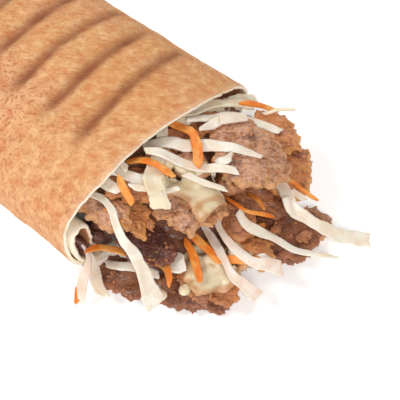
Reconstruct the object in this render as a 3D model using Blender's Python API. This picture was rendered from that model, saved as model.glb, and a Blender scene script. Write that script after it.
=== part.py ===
"""A grilled gyro wrap: flatbread rolled round sliced meat, with cabbage and carrot shreds.

The roll lies along X with its open mouth at +X and its tucked end at -X.  Z is up, and the
origin is on the flat underside, half way along the bread.  Places in the filling are given in
millimetres from the mouth: out is along +X past the lip, and across is along +Y.
"""

import math
from dataclasses import dataclass

import bmesh
import bpy
import numpy as np
from mathutils import Vector
from mathutils.bvhtree import BVHTree
from mathutils.noise import noise

MM = 0.001

# The roll of flatbread
BREAD_LENGTH = 160 * MM          # lip of the mouth to the tip of the tucked end
MOUTH_X = BREAD_LENGTH / 2
ROLL_HEIGHT = 36.5 * MM
NEAR_HALF_WIDTH = 37.5 * MM      # the -Y side, pressed squarer
FAR_HALF_WIDTH = 39.0 * MM       # the +Y side, with a sloping shoulder
FAR_FLARE = 2.0 * MM             # how much wider the far side opens at the mouth
NEAR_SQUARENESS = 3.0
FAR_SQUARENESS = 2.3
MOUTH_FAR_SQUARENESS = 1.75
BREAD_THICKNESS = 1.6 * MM
LAYER_GAP = 0.6 * MM             # clear space between two turns of the bread
TURN_STEP = math.radians(12)
TAIL_ANGLE = math.radians(-66)   # where the outer end lies, under the roll
INNER_LEAVES_WALL = math.radians(-546)
TURNS_INWARDS = (376, 414)       # degrees past the far side, where the second turn moves inwards
ARCH_RADIUS = 2.4 * MM           # the inner end's curl, beside the near wall
ARCH_LIFT = 0.6 * MM             # from where the bread leaves the wall to the curl's middle
ARCH_SIDES = 6
FLAP_FALL = ((4.5, 0.0), (9.0, 0.4), (12.0, 2.0), (13.6, 5.2))  # the curl's end, down and aside, in mm
BREAD_STATIONS = 18
FLAT_PRESS = 0.3 * MM            # how far the underside is pressed flat
LIP_WAVE = 0.8 * MM
LIP_RIPPLES = (17.0, 41.0)       # radians of the lip's long and short waves along the ribbon
LENGTH_OPENS = (0.55, 1.0)       # share of the length over which the mouth widens

# The tucked end
TUCK_BULGE = 7.5 * MM
TUCK_DEPTH = 14 * MM
TUCK_SIDES = 30
TUCK_RINGS = ((1.5, 1.0), (-2.5, 2.2), (-5.5, 5.0), (-7.3, 9.0), (-7.0, 14.0))  # ahead, inset, in mm
TUCK_HOLLOW = 5.6 * MM           # how far the middle of the tucked end stands out
TUCK_FOLD = 0.5 * MM
TUCK_FLOOR = 0.4 * MM

# The filling
PIECE_GAP = 0.45 * MM            # clear space between pieces that lie on each other
CORE_NEAR = -27 * MM             # beside the bread's inner end
CORE_FAR = 29 * MM
HEAP_NEAR = -22 * MM             # the same two sides, outside the mouth
HEAP_FAR = 34 * MM
NEAR_DRAWS_IN = (-0.12, 0.02)    # shares of the heap's reach over which the sides move
FAR_SPREADS = (0.0, 0.4)
OVER_FLAP = (-21.5, 10.8, 0.6)   # from this place across, the core is this high and rises by this
CORE_ROOM = 2.0 * MM             # clear space between the core and the bread over it
CORE_LIFT = 1.3 * MM             # clear space between the core and the bread under it
LIP_HEIGHT = 27.8 * MM           # the core's height at the middle of the mouth
PLATEAU = 16 * MM                # the upper tier of slices rests at this height
LEDGE = 9.5 * MM                 # the lower tier, next to the upper one
SKIRT = 2.5 * MM                 # height of the core at its outer edge
HEAP_REACH = 36 * MM
HEAP_MIDDLE = 6 * MM
HEAP_HALF_WIDTH = 35 * MM
TIER_REACH = 24 * MM
TIER_MIDDLE = 15 * MM
TIER_HALF_WIDTH = 31 * MM
CORE_BUMP = 1.1 * MM
CORE_BUMP_SIZE = 6 * MM
CORE_ROUNDING = 9 * MM           # how far the core's lower edges are rounded off
CORE_STOPS = (-110, -75, -45, -24, -14, -7, -3)  # rows of the core inside the roll, in mm
CORE_ROWS = 20
CORE_COLUMNS = 14
FLOOR_CLEARANCE = 0.3 * MM
SHRED_STEP = 4.2 * MM            # length of one straight run of a shred
HANGING_FOOTPRINT = 0.45         # share of its width that a shred on edge covers from above
STEEPEST_TILT = 0.9              # rise over run, across a shred that lies on a slope
HANGING_TILT = -3.0              # the same, for a shred that hangs on edge


@dataclass(frozen=True)
class Slice:
    """A thin slab of meat or cheese, by its plan place and size in millimetres."""

    name: str
    out: float
    across: float
    length: float
    width: float
    heading: float               # degrees from +X to the long side
    thickness: float = 2.2
    ragged: float = 0.10
    curl: float = 0.0            # how far its rim turns up
    bend_radius: float = 45.0    # the tightest bend that it takes
    steepest: float = 1.0        # fall over run, where it hangs over an edge
    finish: str = "meat"


@dataclass(frozen=True)
class Shred:
    """A strip of cabbage or carrot: its plan route and its widths along it, in millimetres."""

    name: str
    route: tuple
    widths: tuple
    thickness: float = 0.9
    bend_radius: float = 7.0     # the tightest bend that it takes
    steepest: float = 0.9        # fall over run, where it hangs over an edge
    finish: str = "cabbage"


# From the lowest piece to the highest: each one is laid on those before it.
# Routes are (out, across), or (out, across, height) where a shred hangs out of the bread's curl.
LAYERS = (
    Slice("meat_base_front", 29, -20, 11, 5.5, 35, thickness=1.8),
    Slice("meat_base_near", 11, -29, 9.5, 6, -8, thickness=1.8),
    Slice("meat_base_far", 39, 9, 6.5, 4.5, 20),
    Slice("meat_bowl", 32, -14, 9, 6.5, 20, curl=2.2),
    Slice("cheese_lower", 30, -11, 9, 6, 40, thickness=1.3, finish="cheese"),
    Shred("carrot_floor", ((2, -39), (5, -42)), (1.5, 1.8), 1.2, finish="carrot"),
    Shred("cabbage_curl_low",
          ((-1.5, -31.2, 12.2), (1.5, -31.3, 11.2), (3.6, -32.4, 6.2), (7, -35.4, 2), (12, -36.6, 0.9)),
          (1.2, 1.5, 3.0, 3.4, 2.0), 0.7, bend_radius=3, steepest=1.7),
    Shred("cabbage_curl_hanging",
          ((-3, -32.6, 16.5), (1.8, -32.6, 14), (3.2, -35, 8.5), (4.6, -38.2, 4), (6.4, -41.4, 1)),
          (1.2, 1.5, 3.0, 3.0, 2.8), 0.7, bend_radius=3, steepest=1.7),
    Shred("cabbage_base", ((4, -29), (9, -27), (14, -24), (19, -22)), (2.5, 3, 2.5)),
    Shred("carrot_arched", ((2, -33.5), (3.5, -30), (6, -26.5), (10, -23.5), (16, -22)), (1.6, 2, 1.8), 1.3,
          finish="carrot"),
    Shred("cabbage_leaf", ((17, -17), (21, -17.5), (25, -19)), (3.5, 6, 4), 0.8),
    Shred("carrot_light", ((17, -21.5), (20, -20.5), (25.5, -24)), (2, 2.4, 2), 1.4, finish="carrot"),
    Slice("meat_dark", 12, -20, 9, 6, 15, thickness=2.4),
    Slice("meat_far_tip", 40, 22, 8, 6, 60),
    Slice("meat_brown", 37, 12, 11, 8, 25),
    Slice("meat_corner", 36, 0, 7, 5.5, 30),
    Slice("meat_red", 27, 3, 6.5, 5.5, -40),
    Shred("carrot_front_left", ((18, -10), (25, -13.5), (31, -18)), (1.8, 2.4, 2), 1.4, finish="carrot"),
    Shred("carrot_front_right", ((18, -8), (25, -8.5), (30, -9), (36, -5.5), (39, -1.5)),
          (2.2, 2.6, 1.8), 1.4, finish="carrot"),
    Shred("cabbage_front_left", ((18, -3.5), (22, -4.5), (28, -7), (33, -9.5), (38, -11), (45, -9)),
          (1.6, 3.4, 2.4, 2.6, 4), steepest=1.1),
    Shred("cabbage_front_middle", ((22.5, 1.5), (24, -2), (29, -3.8), (35, -5), (40, -4), (45.5, 0.5)),
          (2, 2.6, 3, 3.8), steepest=1.1),
    Shred("cabbage_front_right", ((26, 4.5), (31, 3), (37, 5.5), (41, 7.5), (46, 10.5), (54, 18)),
          (4, 4.2, 3, 2.6, 1.3), steepest=0.7),
    Shred("carrot_pair_left", ((20, 6), (24, 5.5), (28, 5.5), (31, 7.5), (34, 11)), (1.4, 1.8, 1.8), 1.3,
          finish="carrot"),
    Shred("carrot_pair_right", ((24, 12), (28, 11), (31.5, 9.5)), (2, 2, 1.4), 1.3, finish="carrot"),
    Slice("meat_right", 28, 27, 11, 8, -55, thickness=2.4, bend_radius=90),
    Shred("cabbage_grey", ((33, 20), (38, 21)), (2.4, 1.8), 0.7),
    Shred("cabbage_longest",
          ((25, 18), (30, 19.5), (33.5, 17.5), (38, 15.5), (43, 17.5), (49, 20.5), (57, 31)),
          (4.6, 4.2, 3.4, 3.6, 4.2), 1.0),
    Shred("cabbage_spur", ((34, 16), (38, 13)), (2.2, 1.2), 0.9),
    Shred("carrot_far", ((28, 20), (32, 21), (36, 21), (41, 22.5)), (2, 2, 1.5), 1.3, finish="carrot"),
    Slice("meat_behind", 17, 33, 9, 7, -20),
    Slice("meat_crumb", 6, -20.5, 8, 5, 15, ragged=0.2),
    Slice("meat_under_cheese", 17, -6, 10, 8.5, 60, ragged=0.16),
    Slice("meat_near", 2, -25, 8.5, 5, 15),
    Slice("meat_left", 4, -14, 9, 5.5, 35),
    Slice("meat_lip", 2, 11, 12, 4.5, 82, thickness=1.8),
    Slice("cheese_upper", 15, -2, 9, 6, 50, thickness=1.2, finish="cheese"),
    Slice("meat_large", 21, 15, 13, 10.5, -20, thickness=2.6, ragged=0.13),
    Shred("cabbage_long",
          ((-3, -25), (1.5, -23.3), (5, -24), (8.5, -26), (11.5, -27.7), (17.5, -27.8), (25.5, -30)),
          (2.6, 2.8, 2.8, 3.2, 5.2), 1.0, bend_radius=4, steepest=2.2),
    Shred("cabbage_lip_near", ((-4, -20.5), (0.5, -20), (4.5, -19.3)), (2.8, 3, 2.4)),
    Shred("cabbage_lip_wide", ((-4, -18), (1.5, -15.2), (5.5, -13), (7.5, -9.2)), (3, 4, 3.4)),
    Shred("carrot_lip_near", ((1.5, -17.4), (5.5, -19), (9.5, -20)), (2, 2.6, 2.4), 1.4, finish="carrot"),
    Shred("cabbage_small", ((-3.5, -13.3), (1.5, -13.8)), (1.8, 2.2)),
    Shred("cabbage_edge", ((7, -18), (10, -14.5), (15, -8)), (2.2, 2, 1.6)),
    Shred("cabbage_cheese", ((13, -3.5), (18.5, -1.5), (23.5, 1.5)), (2.2, 1.8, 1.4)),
    Shred("cabbage_down", ((-4, 6), (2, -1), (4.5, -5.5), (9, -12), (13, -14.5)), (2.8, 2.8, 3.6, 5.5)),
    Shred("carrot_middle", ((-2, -11), (3, -8.5), (6.5, -8), (12.5, -7.5)), (1.6, 2.2, 2.2), 1.3,
          finish="carrot"),
    Shred("cabbage_across", ((1.5, -7), (5, -4.8), (12.5, 0), (17.5, 4), (23, 7)), (2.4, 3, 2.8, 2.2)),
    Shred("cabbage_wide", ((-3, -3.5), (1.5, 1), (9.5, 8), (17, 12.5), (24.5, 16)), (3, 4, 3.6, 1.4)),
    Shred("carrot_top", ((-4, 6.5), (4, 8.5), (9, 6), (14.5, 0)), (2, 3, 2.6), 1.5, finish="carrot"),
    Shred("cabbage_far_broad", ((-3.5, 7), (-1.5, 13), (0, 19), (3, 27), (7, 34.5)), (3, 3.6, 3.4)),
    Shred("cabbage_far_long", ((1.5, 10.5), (4.5, 17), (8, 24), (13, 30), (19.5, 33)), (2.4, 3.4, 3.6, 2.4)),
    Shred("cabbage_star", ((6.5, 10), (7.5, 14), (8, 20.5)), (1.4, 3.6, 1.6)),
    Shred("cabbage_chip", ((8.5, 16.5), (12.5, 24)), (3.4, 2.6)),
    Shred("carrot_rim", ((6, 29), (9.5, 34.5), (12.5, 38)), (1.4, 2, 1.6), 1.2, finish="carrot"),
)

COLOURS = {
    "bread": (0.72, 0.44, 0.22, 1),
    "core": (0.30, 0.15, 0.09, 1),
    "meat": (0.38, 0.20, 0.12, 1),
    "cheese": (0.85, 0.78, 0.52, 1),
    "cabbage": (0.86, 0.82, 0.70, 1),
    "carrot": (0.90, 0.36, 0.06, 1),
}


def clear_scene():
    """Remove every object, so that the model is built in an empty scene."""
    for old in list(bpy.data.objects):
        bpy.data.objects.remove(old, do_unlink=True)


def add_object(name, vertices, faces, finish):
    """Make a closed mesh object with its own material, its faces pointing outwards."""
    mesh = bpy.data.meshes.new(name)
    mesh.from_pydata([tuple(v) for v in vertices], [], faces)
    shape = bmesh.new()
    shape.from_mesh(mesh)
    bmesh.ops.recalc_face_normals(shape, faces=shape.faces)
    shape.to_mesh(mesh)
    shape.free()
    mesh.shade_smooth()
    mesh.set_sharp_from_angle(angle=math.radians(50))
    material = bpy.data.materials.new(f"{name}_{finish}")
    material.use_nodes = True
    shader = material.node_tree.nodes["Principled BSDF"]
    shader.inputs["Base Color"].default_value = COLOURS[finish]
    shader.inputs["Roughness"].default_value = 0.6
    shader.inputs["Metallic"].default_value = 0.0
    mesh.materials.append(material)
    piece = bpy.data.objects.new(name, mesh)
    bpy.context.collection.objects.link(piece)
    return piece


def smooth_step(value, low, high):
    """Rise smoothly from 0 at low to 1 at high."""
    share = min(max((value - low) / (high - low), 0.0), 1.0)
    return share * share * (3 - 2 * share)


# ---------------------------------------------------------------- the bread


def roll_point(angle, inset, openness):
    """A point (y, z) on the roll's section, inset from its outline.

    The outline is a superellipse, squarer on the near side.  openness runs from 0 along the
    roll to 1 at the mouth, where the far side is wider and rounder.
    """
    cosine, sine = math.cos(angle), math.sin(angle)
    far = cosine >= 0
    squareness = NEAR_SQUARENESS
    half_width = NEAR_HALF_WIDTH
    if far:
        squareness = FAR_SQUARENESS + (MOUTH_FAR_SQUARENESS - FAR_SQUARENESS) * openness * (sine > 0)
        half_width = FAR_HALF_WIDTH + FAR_FLARE * openness
    across = (half_width - inset) * math.copysign(abs(cosine) ** (2 / squareness), cosine)
    power = 2 / squareness
    up = (ROLL_HEIGHT / 2 + FLAT_PRESS - inset) * math.copysign(abs(sine) ** power, sine)
    return across, ROLL_HEIGHT / 2 + up


def roof_height(across, inset, openness):
    """Height of the roll's upper side over a place across it, inset from the outline."""
    far = across >= 0
    squareness = NEAR_SQUARENESS
    half_width = NEAR_HALF_WIDTH
    if far:
        squareness = FAR_SQUARENESS + (MOUTH_FAR_SQUARENESS - FAR_SQUARENESS) * openness
        half_width = FAR_HALF_WIDTH + FAR_FLARE * openness
    share = min(abs(across) / (half_width - inset), 1.0)
    rise = (ROLL_HEIGHT / 2 - inset) * (1 - share**squareness) ** (1 / squareness)
    return ROLL_HEIGHT / 2 + rise


def bread_middle_line(openness):
    """The middle of the bread in a section, from the outer end under the roll to the curl."""
    inner_turn = BREAD_THICKNESS + LAYER_GAP
    line = []
    angle = TAIL_ANGLE
    while angle > INNER_LEAVES_WALL - TURN_STEP / 2:
        inner = smooth_step(-math.degrees(angle), *TURNS_INWARDS)
        line.append(roll_point(angle, BREAD_THICKNESS / 2 + inner_turn * inner, openness))
        angle -= TURN_STEP
    # the curl: straight up, a half turn over, then down and under the filling
    foot_y, foot_z = line[-1]
    arch_y = foot_y + LAYER_GAP + ARCH_RADIUS
    arch_z = foot_z + ARCH_LIFT
    for step in range(ARCH_SIDES + 1):
        turn = math.pi * (1 - step / ARCH_SIDES)
        line.append((arch_y + ARCH_RADIUS * math.cos(turn), arch_z + ARCH_RADIUS * math.sin(turn)))
    last_y, last_z = line[-1]
    for fall, aside in FLAP_FALL:
        line.append((last_y + aside * MM, last_z - fall * MM))
    return line


def lip_offset(place):
    """How far the lip stands out of the mouth's plane, by its share of the way round."""
    long_wave, short_wave = LIP_RIPPLES
    return LIP_WAVE * (math.sin(place * long_wave) + 0.5 * math.sin(place * short_wave + 1.0))


def make_bread():
    """The rolled flatbread: one ribbon of even thickness, lofted along the roll."""
    tuck_x = -BREAD_LENGTH / 2 + TUCK_BULGE
    count = len(bread_middle_line(0))
    outer, inner = [], []
    for station in range(BREAD_STATIONS):
        share = station / (BREAD_STATIONS - 1)
        openness = smooth_step(share, *LENGTH_OPENS)
        line = bread_middle_line(openness)
        for index, (across, up) in enumerate(line):
            before = line[max(index - 1, 0)]
            after = line[min(index + 1, count - 1)]
            run, rise = after[0] - before[0], after[1] - before[1]
            size = math.hypot(run, rise)
            normal = (-rise / size, run / size)
            place = index / (count - 1)
            x = tuck_x + (MOUTH_X + lip_offset(place) - tuck_x) * share
            half = BREAD_THICKNESS / 2
            outer.append((x, across - normal[0] * half, max(up - normal[1] * half, 0.0)))
            inner.append((x, across + normal[0] * half, max(up + normal[1] * half, 0.0)))
    vertices = outer + inner
    shift = len(outer)
    faces = []
    for row in range(BREAD_STATIONS - 1):
        for column in range(count - 1):
            a = row * count + column
            faces.append((a, a + 1, a + count + 1, a + count))
            faces.append(tuple(reversed([v + shift for v in faces[-1]])))
    for row in range(BREAD_STATIONS - 1):
        for column in (0, count - 1):
            a = row * count + column
            faces.append((a, a + count, a + count + shift, a + shift))
    for row in (0, BREAD_STATIONS - 1):
        for column in range(count - 1):
            a = row * count + column
            faces.append((a, a + 1, a + 1 + shift, a + shift))
    bread = add_object("flatbread", vertices, faces, "bread")
    join_tucked_end(bread, tuck_x)
    return bread


def join_tucked_end(bread, tuck_x):
    """Close the far end with the folded bread that is tucked into the roll there."""
    rings = ((TUCK_DEPTH / MM, TUCK_RINGS[0][1]), *TUCK_RINGS)
    vertices = []
    for ahead, inset in rings:
        for side in range(TUCK_SIDES):
            angle = 2 * math.pi * side / TUCK_SIDES
            across, up = roll_point(angle, inset * MM, 0)
            fold = TUCK_FOLD * math.sin(3 * angle + inset) if ahead < 0 else 0.0
            vertices.append((tuck_x + ahead * MM + fold, across, max(up, TUCK_FLOOR)))
    faces = []
    for ring in range(len(rings) - 1):
        for side in range(TUCK_SIDES):
            a = ring * TUCK_SIDES + side
            b = ring * TUCK_SIDES + (side + 1) % TUCK_SIDES
            faces.append((a, b, b + TUCK_SIDES, a + TUCK_SIDES))
    faces.append(tuple(range(TUCK_SIDES)))
    middle = len(vertices)
    vertices.append((tuck_x - TUCK_HOLLOW, 0, ROLL_HEIGHT / 2))
    last = (len(rings) - 1) * TUCK_SIDES
    for side in range(TUCK_SIDES):
        faces.append((last + side, last + (side + 1) % TUCK_SIDES, middle))
    plug = add_object("tucked_end_cutter", vertices, faces, "bread")
    plug.hide_render = True
    plug.display_type = "WIRE"
    union = bread.modifiers.new("tucked end", "BOOLEAN")
    union.operation = "UNION"
    union.solver = "EXACT"
    union.object = plug


# ---------------------------------------------------------------- the core of the filling


def ellipse_reach(across, reach, middle, half_width):
    """How far out a rounded front stands at a place across it."""
    share = min(abs(across - middle) / half_width, 1.0)
    return reach * math.sqrt(1 - share * share)


def core_height(out, across):
    """Height of the core's upper side, at a place in metres from the mouth."""
    roof = roof_height(across, BREAD_THICKNESS + CORE_ROOM, 0) - 1.0 * MM
    front = ellipse_reach(across, HEAP_REACH, HEAP_MIDDLE, HEAP_HALF_WIDTH)
    tier = ellipse_reach(across, TIER_REACH, TIER_MIDDLE, TIER_HALF_WIDTH)
    ledge = LEDGE + (SKIRT - LEDGE) * smooth_step(out, 0.35 * front, front)
    plateau = LIP_HEIGHT + (PLATEAU - LIP_HEIGHT) * smooth_step(out, -4 * MM, 0.55 * TIER_REACH)
    height = ledge + (plateau - ledge) * (1 - smooth_step(out, tier - 5 * MM, tier + 1 * MM))
    inside = 1 - smooth_step(out, -18 * MM, -7 * MM)
    height += (roof - height) * inside
    bumps = noise(Vector((out / CORE_BUMP_SIZE, across / CORE_BUMP_SIZE, 0.7))) * CORE_BUMP
    return min(height + bumps * smooth_step(out, -10 * MM, 0), roof)


def make_core():
    """The packed meat through the roll, heaped out of its mouth in two tiers."""
    back = -BREAD_LENGTH + TUCK_BULGE + TUCK_DEPTH + 2 * MM
    stops = [back] + [stop * MM for stop in CORE_STOPS]
    steps = CORE_ROWS - len(stops)
    flap_y, flap_z, flap_rise = OVER_FLAP[0] * MM, OVER_FLAP[1] * MM, OVER_FLAP[2]
    upper, lower = [], []
    for row in range(CORE_ROWS):
        share = (row - len(stops)) / (steps - 1)
        for column in range(CORE_COLUMNS):
            slide = math.sin((column / (CORE_COLUMNS - 1) - 0.5) * math.pi)
            near = CORE_NEAR + (HEAP_NEAR - CORE_NEAR) * smooth_step(share, *NEAR_DRAWS_IN)
            far = CORE_FAR + (HEAP_FAR - CORE_FAR) * smooth_step(share, *FAR_SPREADS)
            across = (near + far) / 2 + (far - near) / 2 * slide
            out = stops[row] if row < len(stops) else 0.0
            out += max(share, 0) * ellipse_reach(across, HEAP_REACH, HEAP_MIDDLE, HEAP_HALF_WIDTH)
            base = ROLL_HEIGHT - roof_height(across, 2 * BREAD_THICKNESS + LAYER_GAP + CORE_LIFT, 0)
            if across < flap_y:
                base = max(base, flap_z + flap_rise * (flap_y - across))
            base += (FLOOR_CLEARANCE - base) * smooth_step(out, 2 * MM, 6 * MM)
            rounding = CORE_ROUNDING * abs(slide) ** 6 * (1 - smooth_step(out, 0, 8 * MM))
            top = core_height(out, across)
            edge = min(base + rounding, top - 1.5 * MM)
            upper.append((MOUTH_X + out, across, top))
            lower.append((MOUTH_X + out, across, edge))
    shift = len(upper)
    faces = []
    for row in range(CORE_ROWS - 1):
        for column in range(CORE_COLUMNS - 1):
            a = row * CORE_COLUMNS + column
            faces.append((a, a + 1, a + CORE_COLUMNS + 1, a + CORE_COLUMNS))
            faces.append(tuple(reversed([v + shift for v in faces[-1]])))
        for column in (0, CORE_COLUMNS - 1):
            a = row * CORE_COLUMNS + column
            faces.append((a, a + CORE_COLUMNS, a + CORE_COLUMNS + shift, a + shift))
    for row in (0, CORE_ROWS - 1):
        for column in range(CORE_COLUMNS - 1):
            a = row * CORE_COLUMNS + column
            faces.append((a, a + 1, a + 1 + shift, a + shift))
    return add_object("filling_core", upper + lower, faces, "core")


# ---------------------------------------------------------------- laying pieces on the heap


class Relief:
    """The height of what already lies in and before the mouth, on a fine grid.

    Under the roof of the bread, heights are read from just below the roof.
    """

    STEP = 0.6 * MM
    OUT = (-12 * MM, 72 * MM)
    ACROSS = (-56 * MM, 56 * MM)
    ROOF_ENDS = 1.8 * MM

    def __init__(self):
        self.out = np.arange(*self.OUT, self.STEP)
        self.across = np.arange(*self.ACROSS, self.STEP)
        self.top = np.full((len(self.out), len(self.across)), FLOOR_CLEARANCE)
        self.x_grid, self.y_grid = np.meshgrid(self.out, self.across, indexing="ij")

    def add(self, piece):
        """Raise the grid wherever the piece is higher."""
        graph = bpy.context.evaluated_depsgraph_get()
        tree = BVHTree.FromObject(piece, graph)
        corners = np.array([v.co for v in piece.data.vertices])
        low, high = corners.min(axis=0), corners.max(axis=0)
        rows = np.where((self.out + MOUTH_X >= low[0]) & (self.out + MOUTH_X <= high[0]))[0]
        columns = np.where((self.across >= low[1]) & (self.across <= high[1]))[0]
        down = Vector((0, 0, -1))
        for row in rows:
            for column in columns:
                y = self.across[column]
                start = 0.1
                if self.out[row] < self.ROOF_ENDS:
                    start = roof_height(y, BREAD_THICKNESS, 1) - PIECE_GAP
                hit = tree.ray_cast(Vector((MOUTH_X + self.out[row], y, start)), down)[0]
                if hit is not None and hit.z > self.top[row, column]:
                    self.top[row, column] = hit.z

    def drape(self, places, inside, piece):
        """Heights at which a piece rests on what is below it, bending over the highest points.

        places are (out, across) pairs, and inside marks the grid cells under the piece.  Away
        from a point that holds it up, the piece falls along a hyperbola: round at first, and
        then in a straight slope.
        """
        cells = np.stack([self.x_grid[inside], self.y_grid[inside]], axis=1)
        heights = self.top[inside]
        gaps = ((places[:, None, :] - cells[None, :, :]) ** 2).sum(axis=2)
        bend = piece.bend_radius * MM * piece.steepest
        return (heights[None, :] - piece.steepest * (np.sqrt(gaps + bend**2) - bend)).max(axis=1)


def slice_outline(piece, angle):
    """Distance from a slice's middle to its ragged edge, in a direction of its own plane."""
    seed = sum(ord(letter) for letter in piece.name) * 0.37
    base = (abs(math.cos(angle)) / piece.length) ** 2.6 + (abs(math.sin(angle)) / piece.width) ** 2.6
    wobble = noise(Vector((1.6 * math.cos(angle), 1.6 * math.sin(angle), seed)))
    tooth = noise(Vector((5.0 * math.cos(angle), 5.0 * math.sin(angle), seed + 3)))
    return base ** (-1 / 2.6) * (1 + piece.ragged * (1.3 * wobble + 1.2 * tooth)) * MM


def lay_slice(piece, relief, sectors=16, rings=2):
    """Lay a slice on the heap: a thin slab that bends over what it rests on."""
    heading = math.radians(piece.heading)
    middle = np.array((piece.out, piece.across)) * MM
    places = [middle]
    shares = [0.0]
    for ring in range(1, rings + 1):
        for sector in range(sectors):
            angle = 2 * math.pi * sector / sectors
            reach = slice_outline(piece, angle) * (ring / rings) ** 0.8
            direction = np.array((math.cos(angle + heading), math.sin(angle + heading)))
            places.append(middle + reach * direction)
            shares.append(ring / rings)
    places = np.array(places)
    away_x, away_y = relief.x_grid - middle[0], relief.y_grid - middle[1]
    distance = np.hypot(away_x, away_y)
    bearing = np.arctan2(away_y, away_x) - heading
    edges = np.array([slice_outline(piece, a) for a in np.linspace(0, 2 * math.pi, 73)])
    reach = np.interp(bearing % (2 * math.pi), np.linspace(0, 2 * math.pi, 73), edges)
    under = relief.drape(places, distance < reach + relief.STEP, piece)
    under += PIECE_GAP + piece.curl * MM * np.array(shares) ** 2
    thick = piece.thickness * MM * (1 - 0.35 * np.array(shares) ** 3)
    lower = [(MOUTH_X + p[0], p[1], z) for p, z in zip(places, under)]
    upper = [(MOUTH_X + p[0], p[1], z + t) for p, z, t in zip(places, under, thick)]
    shift = len(lower)
    faces = []
    for sector in range(sectors):
        following = (sector + 1) % sectors
        faces.append((0, 1 + sector, 1 + following))
        faces.append((shift, shift + 1 + following, shift + 1 + sector))
        for ring in range(rings - 1):
            a = 1 + ring * sectors + sector
            b = 1 + ring * sectors + following
            faces.append((a, a + sectors, b + sectors, b))
            faces.append((a + shift, b + shift, b + sectors + shift, a + sectors + shift))
        rim = 1 + (rings - 1) * sectors
        faces.append((rim + sector, rim + sector + shift, rim + following + shift, rim + following))
    made = add_object(piece.name, lower + upper, faces, piece.finish)
    relief.add(made)
    return made


def smooth_route(points, spacing):
    """Evenly spaced points on a smooth curve through a route, and each one's share of its length."""
    points = np.array(points, dtype=float) * MM
    ends = np.vstack([2 * points[0] - points[1], points, 2 * points[-1] - points[-2]])
    fine = []
    for first in range(len(points) - 1):
        a, b, c, d = ends[first : first + 4]
        for t in np.linspace(0, 1, 16, endpoint=False):
            bend = (2 * a - 5 * b + 4 * c - d) * t * t + (-a + 3 * b - 3 * c + d) * t**3
            fine.append(0.5 * (2 * b + (c - a) * t + bend))
    fine = np.array(fine + [points[-1]])
    along = np.concatenate([[0], np.cumsum(np.linalg.norm(np.diff(fine, axis=0), axis=1))])
    even = np.linspace(0, along[-1], max(3, round(along[-1] / spacing) + 1))
    places = np.stack([np.interp(even, along, column) for column in fine.T], axis=1)
    return places, even / along[-1]


def lay_shred(piece, relief):
    """Lay a flat strip along its route, tilted to rest on what is below it."""
    places, shares = smooth_route(piece.route, SHRED_STEP)
    flat = places[:, :2]
    forward = np.gradient(flat, axis=0)
    forward /= np.linalg.norm(forward, axis=1)[:, None]
    side = np.stack([-forward[:, 1], forward[:, 0]], axis=1)
    half = np.interp(shares, np.linspace(0, 1, len(piece.widths)), piece.widths) * MM / 2
    thick = piece.thickness * MM
    hanging = places.shape[1] == 3
    track, track_shares = smooth_route(piece.route, relief.STEP)
    reach = np.interp(track_shares, np.linspace(0, 1, len(piece.widths)), piece.widths) * MM / 2
    if hanging:
        reach *= 1 - (1 - HANGING_FOOTPRINT) * (1 - track_shares) ** 2
    inside = np.zeros(relief.x_grid.shape, dtype=bool)
    for point, room in zip(track, reach):
        away = np.hypot(relief.x_grid - point[0], relief.y_grid - point[1])
        inside |= away < room + relief.STEP
    if hanging:
        inside &= relief.x_grid > relief.ROOF_ENDS
    left, right = (relief.drape(flat + side * (half * edge)[:, None], inside, piece) for edge in (-1, 1))
    slopes = np.clip((right - left) / (2 * half), -STEEPEST_TILT, STEEPEST_TILT)
    slopes = np.convolve(np.pad(slopes, 1, mode="edge"), (0.25, 0.5, 0.25), mode="valid")
    if hanging:
        slopes = HANGING_TILT * (1 - shares) ** 2
    spread = half / np.sqrt(1 + slopes**2)
    rests = []
    for level in np.linspace(-1, 1, 5):
        offset = spread * level
        rests.append(relief.drape(flat + side * offset[:, None], inside, piece) - slopes * offset)
    heights = np.max(rests, axis=0) + PIECE_GAP + thick / 2 * np.sqrt(1 + slopes**2)
    if hanging:
        heights = np.maximum(heights, places[:, 2])
    vertices = []
    for index, place in enumerate(flat):
        tilt = math.atan(slopes[index])
        wide = Vector((*(side[index] * math.cos(tilt)), math.sin(tilt))) * half[index]
        lift = Vector((*(-side[index] * math.sin(tilt)), math.cos(tilt))) * thick / 2
        middle = Vector((MOUTH_X + place[0], place[1], heights[index]))
        vertices += [middle - wide - lift, middle + wide - lift, middle + wide + lift, middle - wide + lift]
    faces = [(0, 1, 2, 3)]
    for ring in range(len(flat) - 1):
        for corner in range(4):
            a, b = ring * 4 + corner, ring * 4 + (corner + 1) % 4
            faces.append((a, b, b + 4, a + 4))
    last = 4 * (len(flat) - 1)
    faces.append((last + 3, last + 2, last + 1, last))
    made = add_object(piece.name, vertices, faces, piece.finish)
    relief.add(made)
    return made


def build():
    """Build the bread, the core and every piece laid on it, from the bottom up."""
    clear_scene()
    relief = Relief()
    relief.add(make_bread())
    relief.add(make_core())
    for piece in LAYERS:
        if isinstance(piece, Slice):
            lay_slice(piece, relief)
        else:
            lay_shred(piece, relief)


build()
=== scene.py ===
"""A grilled gyro wrap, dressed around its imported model.

The roll of flatbread lies along X with its open mouth at +X.  Sliced meat, cabbage and carrot
shreds and melted cheese spill out of the mouth.  Lengths are in metres, and places in the
filling are given as out, past the mouth along +X, and across, along +Y.
"""

import logging
import math
from dataclasses import dataclass, field
from enum import Enum
from typing import Any, Callable, Dict, List, Optional, Sequence, Tuple, Union

import bpy
import numpy as np
from mathutils import Matrix, Vector
from mathutils.bvhtree import BVHTree
from mathutils.kdtree import KDTree


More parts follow.
